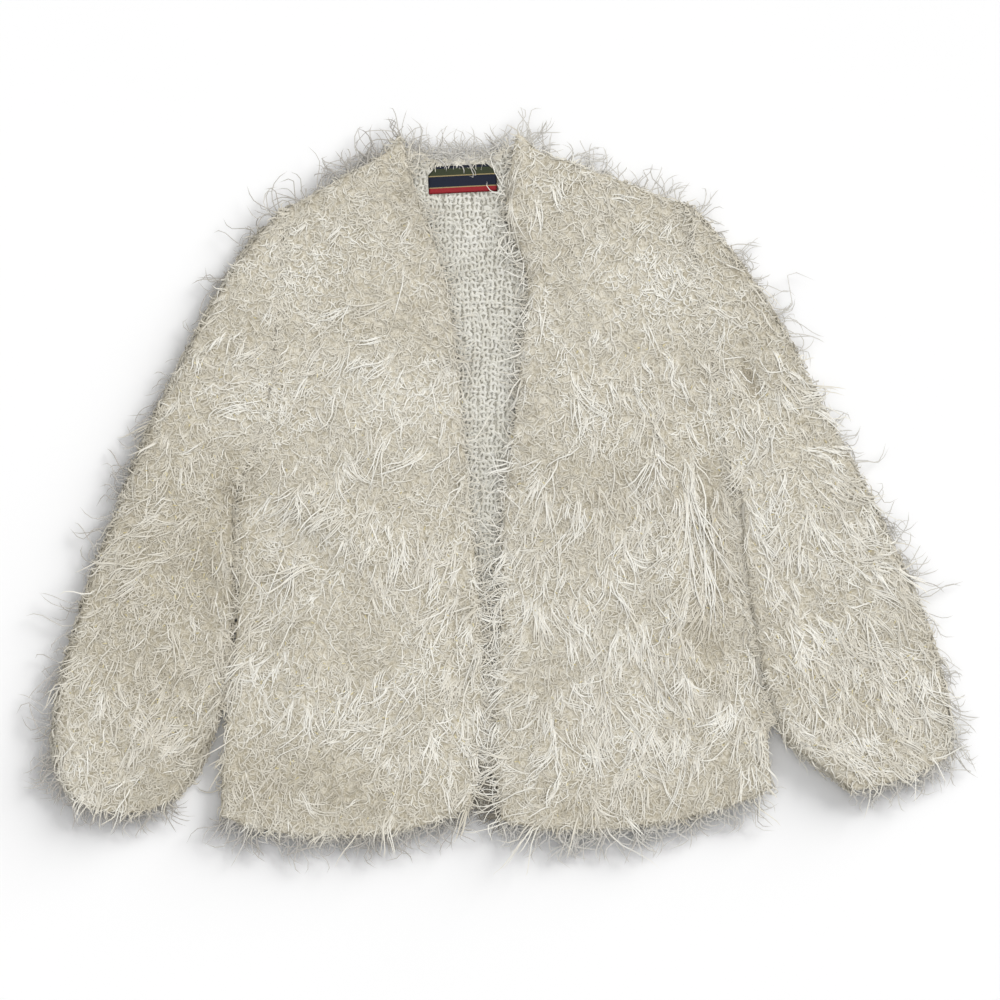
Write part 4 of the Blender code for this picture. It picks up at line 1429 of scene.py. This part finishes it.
def tube_skin(lines, thick, tone):
    """Skin of six-sided tubes along lines, with flat ends; u is the tone and v runs along."""
    count, stations = lines.shape[:2]
    along = unit(np.gradient(lines, axis=1))
    flank = unit(np.cross(along, UP))
    over = np.cross(flank, along)
    turn = np.arange(LOOP_SIDES) * 2 * np.pi / LOOP_SIDES
    swing = np.cos(turn)[:, None] * flank[:, :, None] + np.sin(turn)[:, None] * over[:, :, None]
    points = lines[:, :, None] + thick * swing
    numbers = np.arange(stations * LOOP_SIDES).reshape(stations, LOOP_SIDES)
    skin = grid_faces(np.pad(numbers, ((0, 0), (0, 1)), mode="wrap"))[:, ::-1]
    halves = np.array(((0, 1, 2, 3), (0, 3, 4, 5)))
    pattern = np.concatenate((skin, numbers[0][halves], numbers[-1][halves][:, ::-1]))
    faces = (pattern[None] + (np.arange(count) * stations * LOOP_SIDES)[:, None, None]).reshape(-1, 4)
    u = np.clip(tone, 0.01, 0.98)[:, None, None] + (np.arange(LOOP_SIDES) * 0.003)[None, None, :]
    v = (0.01 + 0.98 * np.linspace(0, 1, stations))[None, :, None]
    uv = np.stack(np.broadcast_arrays(u + 0 * v, v + 0 * u), axis=-1)
    return Skin(points.reshape(-1, 3), faces, uv.reshape(-1, 2))


inside_yarn = yarn_finish("inside yarn", 0.8, INSIDE_TONES)
lines = loop_lines(middles)
loop_tone = 0.52 + 0.1 * drift(middles, 40 * MM, 33) + chance.normal(0, 0.07, len(middles))
inside_stitches = add_piece("back_inside_stitches", tube_skin(lines, YARN_THICK, loop_tone), inside_yarn)

# %% [markdown]
# ## Hairs and pile inside the neck
# The purl side is not bare either: fine hairs of the yarn cross the loops, and a rim of pile lies along
# the back neck above the label. Both are strands again. The hairs lie every way, and the rim's curls lie
# along the neck.

# %% Hairs over the open knit and pile along the back neck
INSIDE_HAIRS, NECK_CURLS = 1500, 300
ALONG_NECK = np.array((-1.0, 0.0, 0.0))

spot = middles[chance.integers(0, len(middles), INSIDE_HAIRS)] + chance.normal(0, 3, (INSIDE_HAIRS, 2)) * MM
angle = chance.uniform(-np.pi, np.pi, INSIDE_HAIRS)
heading = headed(facing(UP, INSIDE_HAIRS), facing(HEMWARD, INSIDE_HAIRS), angle)
length = chance.gamma(7.0, 1.2 * MM, INSIDE_HAIRS)
hairs = loose_strands(
    with_level(spot, LOOP_LEVEL), heading, length, bend=1.6, sway=0.06, lift=(0.6, 1.6), rest=(0.4, 1.4),
    thick=(0.3, 0.5), tone=(0.62, 0.14), stations=4, taper=0.75,
)
inside_hairs = add_piece("back_inside_hairs", hairs, inside_yarn)

root = along_line(neck_line(), chance.uniform(0, LAST, NECK_CURLS))
root[:, 1] -= chance.uniform(0, 4, NECK_CURLS) * MM
root[:, 2] = LOOP_LEVEL + 0.5 * MM
rim = pile_curls(root, facing(UP, NECK_CURLS), facing(ALONG_NECK, NECK_CURLS), 0.0)
neck_pile = add_piece("back_neck_pile", rim, pile_yarn)

# %% [markdown]
# ## Neck label
# A small woven tab is sewn inside the back neck. Its place holds a plain design of level stripes: navy
# and olive over a red band, parted by gold lines. A flat plate would look printed on, so the tab is a
# thin wall that bows up along its loose lower edge. The weave is a fine basket of two crossed waves, read
# from the tab's own map.

# %% Label
LABEL_WIDE, LABEL_DEEP, LABEL_THICK = 62 * MM, 25 * MM, 0.8 * MM
LABEL_MIDDLE = np.array((-33 * MM, 280 * MM))
LABEL_TILT = 0.05
LABEL_CUT = 8 * MM  # slanted upper corners
LABEL_LEVEL = KNIT + SEAM
LABEL_BOW = 0.5 * MM
LABEL_GRID = (30, 14)
WARP_THREADS, WEFT_THREADS = 90, 64
NAVY = (0.012, 0.016, 0.035)
RED = (0.36, 0.022, 0.03)
OLIVE = (0.05, 0.06, 0.03)
GOLD = (0.42, 0.33, 0.16)
STRIPES = ((0.0, RED), (0.2, GOLD), (0.235, NAVY), (0.62, GOLD), (0.655, OLIVE), (0.9, NAVY))
THREAD_TONES = ((0.2, (0.55, 0.55, 0.55)), (0.9, (1.3, 1.3, 1.3)))


def label_face(across, share, face):
    """Flat tab with slanted upper corners that bows up a little along its loose lower edge."""
    slant = np.clip((share * LABEL_DEEP - LABEL_DEEP + LABEL_CUT) / LABEL_CUT, 0, 1)
    reach = LABEL_WIDE / 2 - LABEL_CUT * slant
    x = (2 * across - 1) * reach
    y = (share - 0.5) * LABEL_DEEP
    inward = np.minimum(np.minimum(across, 1 - across) * 2, np.minimum(share, 1 - share))
    swell = np.minimum(1.0, 8 * inward)
    bow = LABEL_BOW * (1 - share) ** 2 * np.sin(np.pi * across) ** 2
    level = LABEL_LEVEL + LABEL_THICK / 2 * (1 + face * swell) + bow
    plan_x = LABEL_MIDDLE[0] + x * np.cos(LABEL_TILT) - y * np.sin(LABEL_TILT)
    plan_y = LABEL_MIDDLE[1] + x * np.sin(LABEL_TILT) + y * np.cos(LABEL_TILT)
    return np.stack((plan_x, plan_y, level), axis=-1)


def label_finish():
    """Woven stripes across the tab with a basket weave in bump and tone."""
    material, shade, link = new_finish("woven tab", 0.7, Specular_IOR_Level=0.3)
    place = shade.add("ShaderNodeUVMap", {"uv_map": "OFBake"})
    wide, up = shade.axes(place)
    warp = shade.maths("SINE", wide * (2 * np.pi * WARP_THREADS))
    weft = shade.maths("SINE", up * (2 * np.pi * WEFT_THREADS))
    weave = warp * weft * 0.5 + 0.5
    stripes = shade.ramp(up, STRIPES, "CONSTANT")
    worn = shade.noise(place, 30.0, 4.0)
    thread = shade.ramp(weave * 0.7 + worn * 0.4, THREAD_TONES)
    link("Base Color", shade.product(stripes, thread))
    bump = {"Height": weave, "Strength": 0.5, "Distance": 0.3 * MM}
    link("Normal", shade.add("ShaderNodeBump", None, bump))
    return material


across, share = np.meshgrid(*(np.linspace(0, 1, count) for count in LABEL_GRID))
wall = closed_wall(label_face(across, share, 1), label_face(across, share, -1))
tab_map = np.stack((across, share), axis=-1)
label_uv = np.concatenate((tab_map.reshape(-1, 2), tab_map[1:-1, 1:-1].reshape(-1, 2)))
label = add_piece("label_woven", Skin(wall.points, wall.faces, label_uv), label_finish())
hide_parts("label")

# %% [markdown]
# ## The back's strands, and the size
# The back's strands are listed with it like those of the other panels: its stitches, hairs, neck pile,
# notch pile and neck fringe. The imported model's panels are hidden. The last lines print the dressed
# jacket's box and the imported model's.

coat_pieces["back"] = [inside_stitches, inside_hairs, neck_pile, notch_pile, fringe_pieces["fringe_neck"]]
for name, piece in cloth.items():
    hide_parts(name)

# %% Size of the dressed part
visual_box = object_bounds()
for name, box in (("cad", cad_box), ("visual", visual_box)):
    print(name, [tuple(round(value, 4) for value in corner) for corner in box])
